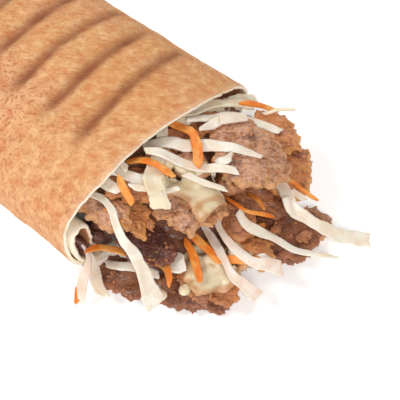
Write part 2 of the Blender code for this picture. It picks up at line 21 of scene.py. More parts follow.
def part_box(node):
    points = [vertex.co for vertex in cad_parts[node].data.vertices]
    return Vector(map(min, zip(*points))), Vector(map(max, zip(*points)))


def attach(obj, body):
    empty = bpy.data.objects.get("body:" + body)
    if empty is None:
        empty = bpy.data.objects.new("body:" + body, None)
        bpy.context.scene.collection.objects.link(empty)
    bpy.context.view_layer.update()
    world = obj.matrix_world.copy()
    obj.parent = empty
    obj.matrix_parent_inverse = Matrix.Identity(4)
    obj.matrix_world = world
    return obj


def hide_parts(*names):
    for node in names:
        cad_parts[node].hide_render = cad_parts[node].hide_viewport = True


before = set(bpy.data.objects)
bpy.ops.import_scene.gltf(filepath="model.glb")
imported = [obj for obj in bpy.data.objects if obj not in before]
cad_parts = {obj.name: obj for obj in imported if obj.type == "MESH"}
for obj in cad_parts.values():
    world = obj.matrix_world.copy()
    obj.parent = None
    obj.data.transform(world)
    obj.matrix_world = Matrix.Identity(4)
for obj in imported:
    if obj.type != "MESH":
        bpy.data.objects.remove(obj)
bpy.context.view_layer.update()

MM = 0.001
MOUTH_X = 80 * MM
LOG = logging.getLogger("gyro_wrap")

Colour = Tuple[float, float, float, float]
Number = Union[float, "Value"]


def shade(red: int, green: int, blue: int) -> Colour:
    """Turn a colour on the 0 to 255 scale into a linear one.

    Args:
        red: how red it is, from 0 to 255.
        green: how green.
        blue: how blue.

    Returns:
        The linear colour.
    """
    parts = []
    for part in (red, green, blue):
        level = part / 255
        parts.append(level / 12.92 if level <= 0.04045 else ((level + 0.055) / 1.055) ** 2.4)
    return (parts[0], parts[1], parts[2], 1.0)


# ---------------------------------------------------------------- shader maths


class Value:
    """A node's output that Python arithmetic works on; each operation adds a Math node."""

    def __init__(self, tree: bpy.types.NodeTree, output: bpy.types.NodeSocket) -> None:
        """Wrap an output of a tree."""
        self.tree = tree
        self.output = output

    def _join(self, operation: str, first: Number, second: Number) -> "Value":
        """Add a Math node.

        Args:
            operation: the Math node's operation.
            first: its first value.
            second: its second value.

        Returns:
            The node's output.
        """
        node = self.tree.nodes.new("ShaderNodeMath")
        node.operation = operation
        for socket, value in zip(node.inputs, (first, second)):
            if isinstance(value, Value):
                self.tree.links.new(value.output, socket)
            else:
                socket.default_value = value
        return Value(self.tree, node.outputs[0])

    def __add__(self, other: Number) -> "Value":
        """Add."""
        return self._join("ADD", self, other)

    def __radd__(self, other: Number) -> "Value":
        """Add to a number."""
        return self._join("ADD", other, self)

    def __sub__(self, other: Number) -> "Value":
        """Subtract."""
        return self._join("SUBTRACT", self, other)

    def __rsub__(self, other: Number) -> "Value":
        """Subtract from a number."""
        return self._join("SUBTRACT", other, self)

    def __mul__(self, other: Number) -> "Value":
        """Multiply."""
        return self._join("MULTIPLY", self, other)

    def __rmul__(self, other: Number) -> "Value":
        """Multiply a number."""
        return self._join("MULTIPLY", other, self)

    def clamped(self) -> "Value":
        """Keep the value between 0 and 1."""
        return self._join("MINIMUM", self._join("MAXIMUM", self, 0.0), 1.0)


class Graph:
    """A material's nodes, ending in one Principled shader."""

    def __init__(self, name: str) -> None:
        """Start a material.

        Args:
            name: the material's name.
        """
        self.material = bpy.data.materials.new(name)
        self.material.use_nodes = True
        self.tree = self.material.node_tree
        self.shader = self.tree.nodes["Principled BSDF"]

    def feed(self, socket: bpy.types.NodeSocket, value: Any) -> None:
        """Link a value to a socket, or set it there."""
        if isinstance(value, Value):
            self.tree.links.new(value.output, socket)
        else:
            socket.default_value = value

    def add(self, kind: str, settings: Optional[Dict[str, Any]] = None,
            inputs: Optional[Dict[Any, Any]] = None, output: Union[int, str] = 0) -> Value:
        """Add any node.

        Args:
            kind: the node's type, without ShaderNode.
            settings: its settings; stops are a ramp's (place, colour) pairs.
            inputs: values or links, by socket name or number.
            output: which output to return.

        Returns:
            The output.
        """
        node = self.tree.nodes.new("ShaderNode" + kind)
        for name, setting in (settings or {}).items():
            if name == "stops":
                self._set_stops(node.color_ramp, setting)
            else:
                setattr(node, name, setting)
        for name, value in (inputs or {}).items():
            self.feed(node.inputs[name], value)
        return Value(self.tree, node.outputs[output])

    @staticmethod
    def _set_stops(ramp: bpy.types.ColorRamp, stops: Sequence[Tuple[float, Colour]]) -> None:
        """Set a colour ramp's stops."""
        while len(ramp.elements) < len(stops):
            ramp.elements.new(0.5)
        for element, (place, colour) in zip(ramp.elements, stops):
            element.position = place
            element.color = colour

    def place(self, stretch: Tuple[float, float, float] = (1, 1, 1), turn: float = 0.0,
              grain: bool = False) -> Value:
        """Coordinates for a pattern, in metres.

        Args:
            stretch: how many times longer the pattern is along each of its axes.
            turn: angle about Z in radians from the object's axes to the pattern's.
            grain: follow the piece's own grain map, and not the object's axes.

        Returns:
            A vector.
        """
        source = self.add("UVMap", {"uv_map": "grain"}) if grain else self.add("TexCoord", output="Object")
        inputs = {"Vector": source, "Scale": stretch, "Rotation": (0, 0, turn)}
        return self.add("Mapping", {"vector_type": "TEXTURE"}, inputs)

    def cloud(self, size: float, where: Optional[Value] = None, detail: float = 2.0,
              rough: float = 0.5, distort: float = 0.0) -> Value:
        """Noise from 0 to 1 with lumps of a given size in metres.

        Args:
            size: the lumps' size.
            where: coordinates, the object's own if none.
            detail: how many finer lumps are added.
            rough: how strong they are.
            distort: how far the lumps are drawn out of shape.

        Returns:
            The noise.
        """
        inputs = {"Scale": 1 / size, "Detail": detail, "Roughness": rough, "Distortion": distort}
        inputs["Vector"] = where or self.place()
        return self.add("TexNoise", {}, inputs)

    def step(self, value: Value, low: float, high: float) -> Value:
        """Rise smoothly from 0 at low to 1 at high."""
        inputs = {"Value": value, "From Min": low, "From Max": high}
        return self.add("MapRange", {"interpolation_type": "SMOOTHSTEP"}, inputs)

    def attribute(self, name: str) -> Value:
        """Read a number that the mesh carries."""
        return self.add("Attribute", {"attribute_name": name}, output="Fac")

    def mix(self, share: Number, first: Any, second: Any, blend: str = "MIX") -> Value:
        """Mix two colours."""
        settings = {"data_type": "RGBA", "blend_type": blend}
        return self.add("Mix", settings, {0: share, 6: first, 7: second}, output=2)

    def relief(self, height: Value, distance: float, strength: float = 1.0,
               under: Optional[Value] = None) -> Value:
        """Add a bump to the surface.

        Args:
            height: the bump's height.
            distance: how high 1 is, in metres.
            strength: how much of it shows.
            under: the normal of a bump below it.

        Returns:
            The bumped normal.
        """
        inputs = {"Height": height, "Distance": distance, "Strength": strength}
        if under is not None:
            inputs["Normal"] = under
        return self.add("Bump", {}, inputs)

    def finish(self, **sockets: Any) -> bpy.types.Material:
        """Set the Principled shader's sockets, named with _ for a space.

        Returns:
            The material.
        """
        for name, value in sockets.items():
            self.feed(self.shader.inputs[name.replace("_", " ")], value)
        return self.material


# ---------------------------------------------------------------- finishes


@dataclass(frozen=True)
class BreadFinish:
    """Grilled flatbread: mottled tan crust, brown grill marks and cream crumb at the cut, with painted light
    on its near wall and painted shade on its inner face and in its curl.
    """

    tan: Colour = shade(220, 160, 108)
    gold: Colour = shade(222, 162, 102)
    pale: Colour = shade(242, 196, 144)
    blush: Colour = shade(232, 174, 130)
    orange: Colour = shade(214, 134, 84)
    freckle: Colour = shade(178, 94, 62)
    toast: Colour = shade(138, 76, 46)
    crumb: Colour = shade(255, 244, 222)

    def make(self) -> bpy.types.Material:
        """Build the material."""
        graph = Graph("grilled_flatbread")
        blush, side = graph.attribute("blush"), graph.attribute("side")
        broad = graph.cloud(15 * MM, detail=2)
        mottle = graph.cloud(3.4 * MM, detail=4, rough=0.62)
        over = graph.cloud(0.7 * MM, graph.place((4.2, 1, 1), math.radians(38)), 4, 0.6, 0.6)
        down = graph.cloud(0.7 * MM, graph.place((1, 1, 2.6)), 4, 0.65)
        grain = graph.cloud(0.45 * MM, detail=3, rough=0.7)
        streak = over * (1 - side) + down * side
        colour = graph.mix(graph.step(broad, 0.38, 0.62), self.tan, self.gold)
        # Painted light: the near wall is lighter and pinker, partly its own blush and partly painted light.
        colour = graph.mix(blush * 0.9, colour, self.blush)
        colour = graph.mix(graph.step(mottle, 0.48, 0.68) * 0.7, colour, self.pale)
        colour = graph.mix(graph.step(mottle, 0.5, 0.34) * 0.7, colour, self.orange)
        colour = graph.mix(graph.step(streak, 0.51, 0.66) * 0.34, colour, self.freckle)
        colour = graph.mix(graph.step(streak, 0.47, 0.34) * 0.45, colour, self.pale)
        spots = graph.place((1, 1, 2.2))
        flecks = graph.step(graph.cloud(1.0 * MM, spots, detail=3, rough=0.6), 0.53, 0.63)
        colour = graph.mix(flecks * (0.12 + 0.75 * blush), colour, self.freckle)
        deep = graph.step(graph.cloud(1.4 * MM, spots, detail=2), 0.66, 0.76)
        colour = graph.mix(deep * (0.3 + 0.3 * blush), colour, self.toast)
        mark = graph.attribute("mark") * (0.75 + 0.35 * mottle + 0.35 * over)
        colour = graph.mix(mark.clamped() * 0.9, colour, self.toast)
        # Toast brown on the inner face and in the curl's hollow: partly toasted crust, partly painted shade
        # under the roof and in the hollow.
        colour = graph.mix(graph.attribute("toasted"), colour, graph.mix(mottle, self.toast, self.tan))
        patches = graph.step(graph.cloud(6 * MM, detail=3), 0.55, 0.72) * 0.45
        inside = graph.mix(patches, self.crumb, self.pale)
        inside = graph.mix(graph.step(grain, 0.55, 0.7) * 0.25, inside, self.pale)
        colour = graph.mix(graph.attribute("crumb"), colour, inside)
        bumps = graph.relief(mottle, 0.5 * MM, 0.5)
        bumps = graph.relief(streak, 0.3 * MM, 0.7, bumps)
        bumps = graph.relief(grain, 0.12 * MM, 0.5, bumps)
        rough = 0.6 + 0.25 * mottle
        return graph.finish(Base_Color=colour, Roughness=rough, Normal=bumps, Specular_IOR_Level=0.25,
                            Subsurface_Weight=0.05, Subsurface_Radius=(1.0, 0.5, 0.3),
                            Subsurface_Scale=1 * MM)


@dataclass(frozen=True)
class MeatFinish:
    """Browned sliced meat, with crisp edges, painted shade in its hollows, pits and cracks, and painted
    highlights on its ridges.
    """

    name: str
    flesh: Colour
    light: Colour
    dark: Colour
    crisp: Colour
    # Pale specks of fat, also used for painted glints on the meat.
    fat: Colour = shade(232, 190, 152)
    gloss: float = 0.3
    coarse: float = 0.6

    def make(self) -> bpy.types.Material:
        """Build the material."""
        graph = Graph(self.name)
        patch = graph.cloud(4.5 * MM, detail=3, rough=0.62)
        grit = graph.cloud(0.8 * MM, detail=4, rough=0.7)
        fibre = graph.cloud(0.9 * MM, graph.place((3.4, 1, 1), 0.75), detail=3, distort=0.5)
        glint_specks = graph.cloud(0.45 * MM, detail=2)
        grain = graph.add("TexVoronoi", {"feature": "SMOOTH_F1"},
                          {"Vector": graph.place(), "Scale": 1 / (0.85 * MM), "Randomness": 1.0})
        relief = graph.attribute("relief")
        colour = graph.mix(graph.step(patch, 0.36, 0.62), self.flesh, self.light)
        colour = graph.mix(graph.step(patch, 0.52, 0.34) * 0.6, colour, self.crisp)
        colour = graph.mix(graph.step(fibre, 0.48, 0.34) * 0.5, colour, self.dark)
        colour = graph.mix(graph.step(fibre, 0.54, 0.68) * 0.45, colour, self.light)
        # Painted shade: darker where the relief, the grit and the grain sink into hollows, pits and cracks.
        colour = graph.mix(graph.step(relief, -0.3, -1.1) * 0.8, colour, self.dark)
        colour = graph.mix(graph.step(grit, 0.48, 0.33) * 0.66, colour, self.dark)
        colour = graph.mix(graph.step(grain, 0.4, 0.75) * self.coarse, colour, self.dark)
        # Painted highlight: lighter where the relief and the grit rise.
        colour = graph.mix(graph.step(relief + grit, 0.5, 1.3) * 0.7, colour, self.light)
        rim = graph.attribute("rim")
        colour = graph.mix((rim * graph.step(patch, 0.25, 0.6)).clamped() * 0.8, colour, self.crisp)
        # Painted glints: small pale specks, partly fat and partly painted highlights.
        colour = graph.mix(graph.step(glint_specks, 0.62, 0.72) * 0.6, colour, self.fat)
        bumps = graph.relief(grit, 0.45 * MM, 0.9)
        bumps = graph.relief(1 - grain, 0.4 * MM, self.coarse, bumps)
        bumps = graph.relief(fibre, 0.35 * MM, 0.8, bumps)
        bumps = graph.relief(glint_specks, 0.18 * MM, 0.8, bumps)
        rough = 0.26 + 0.4 * grit
        return graph.finish(Base_Color=colour, Roughness=rough, Normal=bumps, Specular_IOR_Level=0.55,
                            Coat_Weight=self.gloss, Coat_Roughness=0.25,
                            Subsurface_Weight=0.08, Subsurface_Radius=(1.0, 0.35, 0.2),
                            Subsurface_Scale=0.6 * MM)


@dataclass(frozen=True)
class CabbageFinish:
    """A moist, slightly clear cabbage shred, with veins along it."""

    name: str
    flesh: Colour
    edge: Colour

    def make(self) -> bpy.types.Material:
        """Build the material."""
        graph = Graph(self.name)
        veins = graph.cloud(0.9 * MM, graph.place((8, 1, 1), grain=True), detail=3)
        patch = graph.cloud(4.5 * MM, detail=2)
        colour = graph.mix(graph.step(patch, 0.35, 0.7), self.flesh, self.edge)
        colour = graph.mix(graph.step(veins, 0.5, 0.7) * 0.3, colour, self.edge)
        bumps = graph.relief(veins, 0.25 * MM, 0.6)
        return graph.finish(Base_Color=colour, Roughness=0.32 + 0.2 * patch, Normal=bumps,
                            Specular_IOR_Level=0.45, Subsurface_Weight=0.45,
                            Subsurface_Radius=(1.0, 0.78, 0.55), Subsurface_Scale=1.6 * MM)


@dataclass(frozen=True)
class CarrotFinish:
    """A carrot shred: moist orange, paler at its heart, with fibres along it."""

    flesh: Colour = shade(240, 134, 44)
    deep: Colour = shade(218, 92, 22)
    pale: Colour = shade(248, 178, 96)

    def make(self) -> bpy.types.Material:
        """Build the material."""
        graph = Graph("carrot_shred")
        fibres = graph.cloud(0.7 * MM, graph.place((6.5, 1, 1), grain=True), detail=3)
        patch = graph.cloud(4 * MM, detail=2)
        colour = graph.mix(graph.step(patch, 0.4, 0.7), self.flesh, self.pale)
        colour = graph.mix(graph.step(fibres, 0.5, 0.3) * 0.5, colour, self.deep)
        bumps = graph.relief(fibres, 0.25 * MM, 0.6)
        return graph.finish(Base_Color=colour, Roughness=0.38 + 0.2 * fibres, Normal=bumps,
                            Specular_IOR_Level=0.45, Subsurface_Weight=0.25,
                            Subsurface_Radius=(1.0, 0.5, 0.15), Subsurface_Scale=1.2 * MM)


@dataclass(frozen=True)
class CheeseFinish:
    """Soft melted cheese: smooth, shiny cream."""

    cream: Colour = shade(234, 216, 182)
    fat: Colour = shade(224, 194, 148)
    over_meat: Colour = shade(208, 156, 108)

    def make(self) -> bpy.types.Material:
        """Build the material."""
        graph = Graph("melted_cheese")
        patch = graph.cloud(4 * MM, detail=3)
        fine = graph.cloud(1.2 * MM, detail=2)
        colour = graph.mix(graph.step(patch, 0.45, 0.7) * 0.5, self.cream, self.fat)
        colour = graph.mix(graph.attribute("thin") * (0.5 + patch), colour, self.over_meat)
        bumps = graph.relief(fine, 0.2 * MM, 0.4)
        return graph.finish(Base_Color=colour, Roughness=0.24 + 0.25 * patch, Normal=bumps,
                            Specular_IOR_Level=0.5, Coat_Weight=0.2, Coat_Roughness=0.2,
                            Subsurface_Weight=0.4, Subsurface_Radius=(1.0, 0.8, 0.5), Subsurface_Scale=2 * MM)


@dataclass(frozen=True)
class FloorFinish:
    """A plain pale table top."""

    colour: Colour = (0.9, 0.9, 0.9, 1.0)
    glow: float = 0.0

    def make(self) -> bpy.types.Material:
        """Build the material."""
        graph = Graph("pale_floor")
        return graph.finish(Base_Color=self.colour, Roughness=0.9, Specular_IOR_Level=0.1,
                            Emission_Color=(1.0, 1.0, 1.0, 1.0), Emission_Strength=self.glow)


class Meat(Enum):
    """The browning of a slice of meat."""

    ROSY = MeatFinish("rosy_meat", shade(178, 116, 84), shade(222, 168, 134), shade(96, 44, 28),
                      shade(220, 158, 96), coarse=0.5)
    BROWN = MeatFinish("brown_meat", shade(152, 86, 52), shade(196, 128, 86), shade(66, 26, 14),
                       shade(208, 132, 68), coarse=0.3)
    UMBER = MeatFinish("umber_meat", shade(108, 56, 34), shade(146, 90, 60), shade(52, 22, 12),
                       shade(166, 94, 46), coarse=0.15)
    GOLDEN = MeatFinish("golden_meat", shade(186, 102, 52), shade(216, 142, 84), shade(112, 46, 20),
                        shade(236, 170, 96), coarse=0.15)
    # Dark meat, partly painted shade: darkened for the deep shade that the dark slice and the chunks in the
    # hollows lie in.
    DARK = MeatFinish("dark_meat", shade(88, 44, 34), shade(132, 82, 70), shade(32, 12, 10),
                      shade(132, 68, 40), gloss=0.6)


class Cabbage(Enum):
    """The tint of a cabbage shred."""

    WHITE = CabbageFinish("white_cabbage", shade(236, 218, 198), shade(248, 240, 226))
    CREAM = CabbageFinish("cream_cabbage", shade(236, 214, 182), shade(246, 234, 210))
    PINK = CabbageFinish("pink_cabbage", shade(234, 208, 190), shade(246, 232, 220))


# ---------------------------------------------------------------- modelling


def smooth_step(value: np.ndarray, low: float, high: float) -> np.ndarray:
    """Rise smoothly from 0 at low to 1 at high."""
    share = np.clip((value - low) / (high - low), 0.0, 1.0)
    return share * share * (3 - 2 * share)


_SLOPES = np.random.default_rng(11).normal(size=(512, 3))
_SLOPES /= np.linalg.norm(_SLOPES, axis=1)[:, None]


def slope_at(cells: np.ndarray) -> np.ndarray:
    """Look up the random direction that belongs to each whole-numbered cell."""
    key = (cells[:, 0] * 73856093) ^ (cells[:, 1] * 19349663) ^ (cells[:, 2] * 83492791)
    return _SLOPES[(key ^ (key >> 11)) & 511]


def lumps(points: np.ndarray, size: float, seed: int = 0, octaves: int = 1) -> np.ndarray:
    """Smooth noise, about from -1 to 1, with lumps of a given size.

    Args:
        points: places, one row each.
        size: the largest lumps' size, in metres.
        seed: picks another pattern.
        octaves: how many times finer lumps are added.

    Returns:
        One number for each place.
    """
    values = np.zeros(len(points))
    for octave in range(octaves):
        cells = points / size * 2.0**octave + 17.31 * (seed + octave + 1)
        base = np.floor(cells).astype(np.int64)
        part = cells - base
        fade = part**3 * (part * (part * 6 - 15) + 10)
        for corner in range(8):
            bit = np.array([(corner >> axis) & 1 for axis in range(3)])
            weight = np.prod(np.where(bit, fade, 1 - fade), axis=1)
            values += 1.7 * 0.5**octave * weight * ((part - bit) * slope_at(base + bit)).sum(axis=1)
    return values


def pebbles(points: np.ndarray, size: float, seed: int = 0) -> np.ndarray:
    """A pebbled pattern, about 1 on each pebble and -1 in the cracks between them.

    Args:
        points: places, one row each.
        size: the pebbles' size, in metres.
        seed: picks another pattern.

    Returns:
        One number for each place.
    """
    cells = points / size + 31.7 * (seed + 1)
    base = np.floor(cells).astype(np.int64)
    nearest = np.full(len(points), 9.0)
    for corner in range(27):
        lattice = base + (corner % 3 - 1, corner // 3 % 3 - 1, corner // 9 - 1)
        away = cells - lattice - 0.5 - 0.45 * slope_at(lattice)
        nearest = np.minimum(nearest, (away**2).sum(axis=1))
    return 1 - 2.2 * np.sqrt(nearest)


def seed_of(name: str, span: int) -> int:
    """Pick a seed below span from the letters of a name."""
    return sum(map(ord, name)) % span


def unit(vectors: np.ndarray) -> np.ndarray:
    """Scale a vector, or each row of vectors, to length 1."""
    return vectors / np.linalg.norm(vectors, axis=-1, keepdims=True)


def distance_along(line: np.ndarray) -> np.ndarray:
    """How far along a line each of its points lies."""
    return np.concatenate([[0], np.cumsum(np.linalg.norm(np.diff(line, axis=0), axis=1))])


def grow(marked: np.ndarray) -> np.ndarray:
    """Widen the marked places of a grid by one step each way.

    Args:
        marked: which places are marked; it is changed.

    Returns:
        The same grid.
    """
    for ahead, behind in ((marked[1:], marked[:-1]), (marked[:, 1:], marked[:, :-1])):
        ahead |= behind
        behind |= ahead
    return marked


def soften(heights: np.ndarray, passes: int) -> np.ndarray:
    """Blur a grid, letting it fill hollows more than it cuts peaks.

    Args:
        heights: the grid.
        passes: how many times it is blurred.

    Returns:
        The blurred grid.
    """
    for _ in range(passes):
        padded = np.pad(heights, 1, mode="edge")
        around = (padded[:-2, 1:-1] + padded[2:, 1:-1] + padded[1:-1, :-2] + padded[1:-1, 2:]) / 4
        heights = np.maximum(0.5 * (heights + around), heights - 0.04 * MM)
    return heights


def pick(piece: bpy.types.Object) -> None:
    """Select one object alone and make it active."""
    bpy.ops.object.select_all(action="DESELECT")
    piece.select_set(True)
    bpy.context.view_layer.objects.active = piece


def places_of(piece: bpy.types.Object) -> np.ndarray:
    """A mesh's vertex places, one row each."""
    places = np.empty(len(piece.data.vertices) * 3)
    piece.data.vertices.foreach_get("co", places)
    return places.reshape(-1, 3)


def normals_of(piece: bpy.types.Object) -> np.ndarray:
    """A mesh's vertex normals, one row each."""
    normals = np.empty(len(piece.data.vertices) * 3)
    piece.data.vertices.foreach_get("normal", normals)
    return normals.reshape(-1, 3)


def set_places(piece: bpy.types.Object, places: np.ndarray) -> None:
    """Move a mesh's vertices to new places."""
    piece.data.vertices.foreach_set("co", places.ravel())
    piece.data.update()


def carry(piece: bpy.types.Object, name: str, values: np.ndarray) -> None:
    """Store one number for each vertex, for the material to read."""
    attribute = piece.data.attributes.new(name, "FLOAT", "POINT")
    attribute.data.foreach_set("value", np.asarray(values, dtype=np.float32))


def add_grid(name: str, rows: int, columns: int) -> bpy.types.Object:
    """Add a grid of vertices, numbered row by row.

    Args:
        name: the new object's name.
        rows: vertices one way.
        columns: vertices the other way.

    Returns:
        The grid, its place in its mesh.
    """
    bpy.ops.object.select_all(action="DESELECT")
    bpy.ops.mesh.primitive_grid_add(x_subdivisions=columns - 1, y_subdivisions=rows - 1, size=2)
    piece = bpy.context.object
    piece.name = name
    return piece


def add_ball(detail: int) -> bpy.types.Object:
    """Add a ball of radius 1, at a level of detail."""
    bpy.ops.object.select_all(action="DESELECT")
    bpy.ops.mesh.primitive_ico_sphere_add(subdivisions=detail, radius=1)
    return bpy.context.object


def set_grain(piece: bpy.types.Object, along: np.ndarray, across: np.ndarray) -> None:
    """Give a mesh a UV map, in metres, that follows its own grain.

    Args:
        piece: the mesh.
        along: each vertex's place along the grain.
        across: each vertex's place across it.
    """
    loops = np.empty(len(piece.data.loops), dtype=np.int32)
    piece.data.loops.foreach_get("vertex_index", loops)
    layer = piece.data.uv_layers.active or piece.data.uv_layers.new(name="grain")
    layer.name = "grain"
    layer.data.foreach_set("uv", np.stack([along[loops], across[loops]], axis=1).ravel())


def modify(piece: bpy.types.Object, kind: str, **settings: Any) -> None:
    """Add a modifier and apply it.

    Args:
        piece: the mesh.
        kind: the modifier's type.
        settings: its settings, by name.
    """
    pick(piece)
    modifier = piece.modifiers.new(kind.lower(), kind)
    for name, setting in settings.items():
        setattr(modifier, name, setting)
    bpy.ops.object.modifier_apply(modifier=modifier.name)


def edit(piece: bpy.types.Object, *steps: Callable[[], Any]) -> None:
    """Run edit mode operators on the whole of a mesh.

    Args:
        piece: the mesh.
        steps: functions that call one operator each.
    """
    pick(piece)
    bpy.ops.object.mode_set(mode="EDIT")
    for step in steps:
        bpy.ops.mesh.select_all(action="SELECT")
        step()
    bpy.ops.object.mode_set(mode="OBJECT")


def trim(piece: bpy.types.Object, cut: np.ndarray) -> None:
    """Delete the marked vertices of a mesh.

    Args:
        piece: the mesh.
        cut: which vertices go.
    """
    pick(piece)
    bpy.ops.object.mode_set(mode="EDIT")
    bpy.ops.mesh.select_mode(type="VERT")
    bpy.ops.mesh.select_all(action="DESELECT")
    bpy.ops.object.mode_set(mode="OBJECT")
    piece.data.vertices.foreach_set("select", cut)
    bpy.ops.object.mode_set(mode="EDIT")
    bpy.ops.mesh.delete(type="VERT")
    bpy.ops.object.mode_set(mode="OBJECT")


def drop_bits(piece: bpy.types.Object, least: int) -> None:
    """Delete the loose bits of a mesh that have fewer vertices than least.

    Args:
        piece: the mesh.
        least: how many vertices a bit has to have.
    """
    edges = np.empty(len(piece.data.edges) * 2, dtype=np.int64)
    piece.data.edges.foreach_get("vertices", edges)
    first, second = edges.reshape(-1, 2).T
    label = np.arange(len(piece.data.vertices))
    settled = False
    while not settled:
        lowest = np.minimum(label[first], label[second])
        spread = label.copy()
        np.minimum.at(spread, first, lowest)
        np.minimum.at(spread, second, lowest)
        spread = spread[spread]
        settled = bool((spread == label).all())
        label = spread
    trim(piece, np.bincount(label, minlength=len(label))[label] < least)


def join(parts: Sequence[bpy.types.Object], name: str) -> bpy.types.Object:
    """Join meshes as one piece.

    Args:
        parts: the meshes.
        name: the joined piece's name.

    Returns:
        The joined mesh.
    """
    bpy.ops.object.select_all(action="DESELECT")
    for part in parts:
        part.select_set(True)
    bpy.context.view_layer.objects.active = parts[0]
    bpy.ops.object.join()
    parts[0].name = name
    return parts[0]


def join_copies(model: bpy.types.Object, name: str, shapes: Sequence[np.ndarray]) -> bpy.types.Object:
    """Copy a model once for each list of vertex places, and join the copies.

    Args:
        model: the mesh to copy, which is deleted.
        name: the joined piece's name.
        shapes: the vertex places of each copy.

    Returns:
        The joined mesh.
    """
    copies = []
    for shape in shapes:
        copy = bpy.data.objects.new(name, model.data.copy())
        bpy.context.scene.collection.objects.link(copy)
        set_places(copy, shape)
        copies.append(copy)
    bpy.data.objects.remove(model, do_unlink=True)
    return join(copies, name)


def copy_node(node: str, name: str) -> bpy.types.Object:
    """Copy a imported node's mesh and merge its loose triangles.

    Args:
        node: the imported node.
        name: the copy's name.

    Returns:
        The copy, a closed mesh.
    """
    piece = bpy.data.objects.new(name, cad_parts[node].data.copy())
    bpy.context.scene.collection.objects.link(piece)
    piece.data.materials.clear()
    edit(piece, lambda: bpy.ops.mesh.remove_doubles(threshold=0.002 * MM))
    return piece


def dress(piece: bpy.types.Object, material: bpy.types.Material, slot: str, *nodes: str) -> None:
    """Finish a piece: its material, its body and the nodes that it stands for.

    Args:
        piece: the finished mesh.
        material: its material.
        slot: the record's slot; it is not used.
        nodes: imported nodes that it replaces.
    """
    piece.data.materials.clear()
    piece.data.materials.append(material)
    piece.data.shade_smooth()
    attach(piece, "root")
    if nodes:
        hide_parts(*nodes)
    LOG.info("%s: %d vertices", piece.name, len(piece.data.vertices))


# ---------------------------------------------------------------- the bread


@dataclass
class Sheet:
    """The middle of the bread, with one row or number for each vertex.

    It starts at the tucked end, runs out on the outer face, where side is 1, bulges round the cut
    lip and comes back on the inner face, where side is -1.  Share is how far a vertex lies on the
    way from the tucked end to the lip, and around how far round its section.
    """

    places: np.ndarray
    outward: np.ndarray
    share: np.ndarray
    around: np.ndarray
    side: np.ndarray
    bulge: np.ndarray


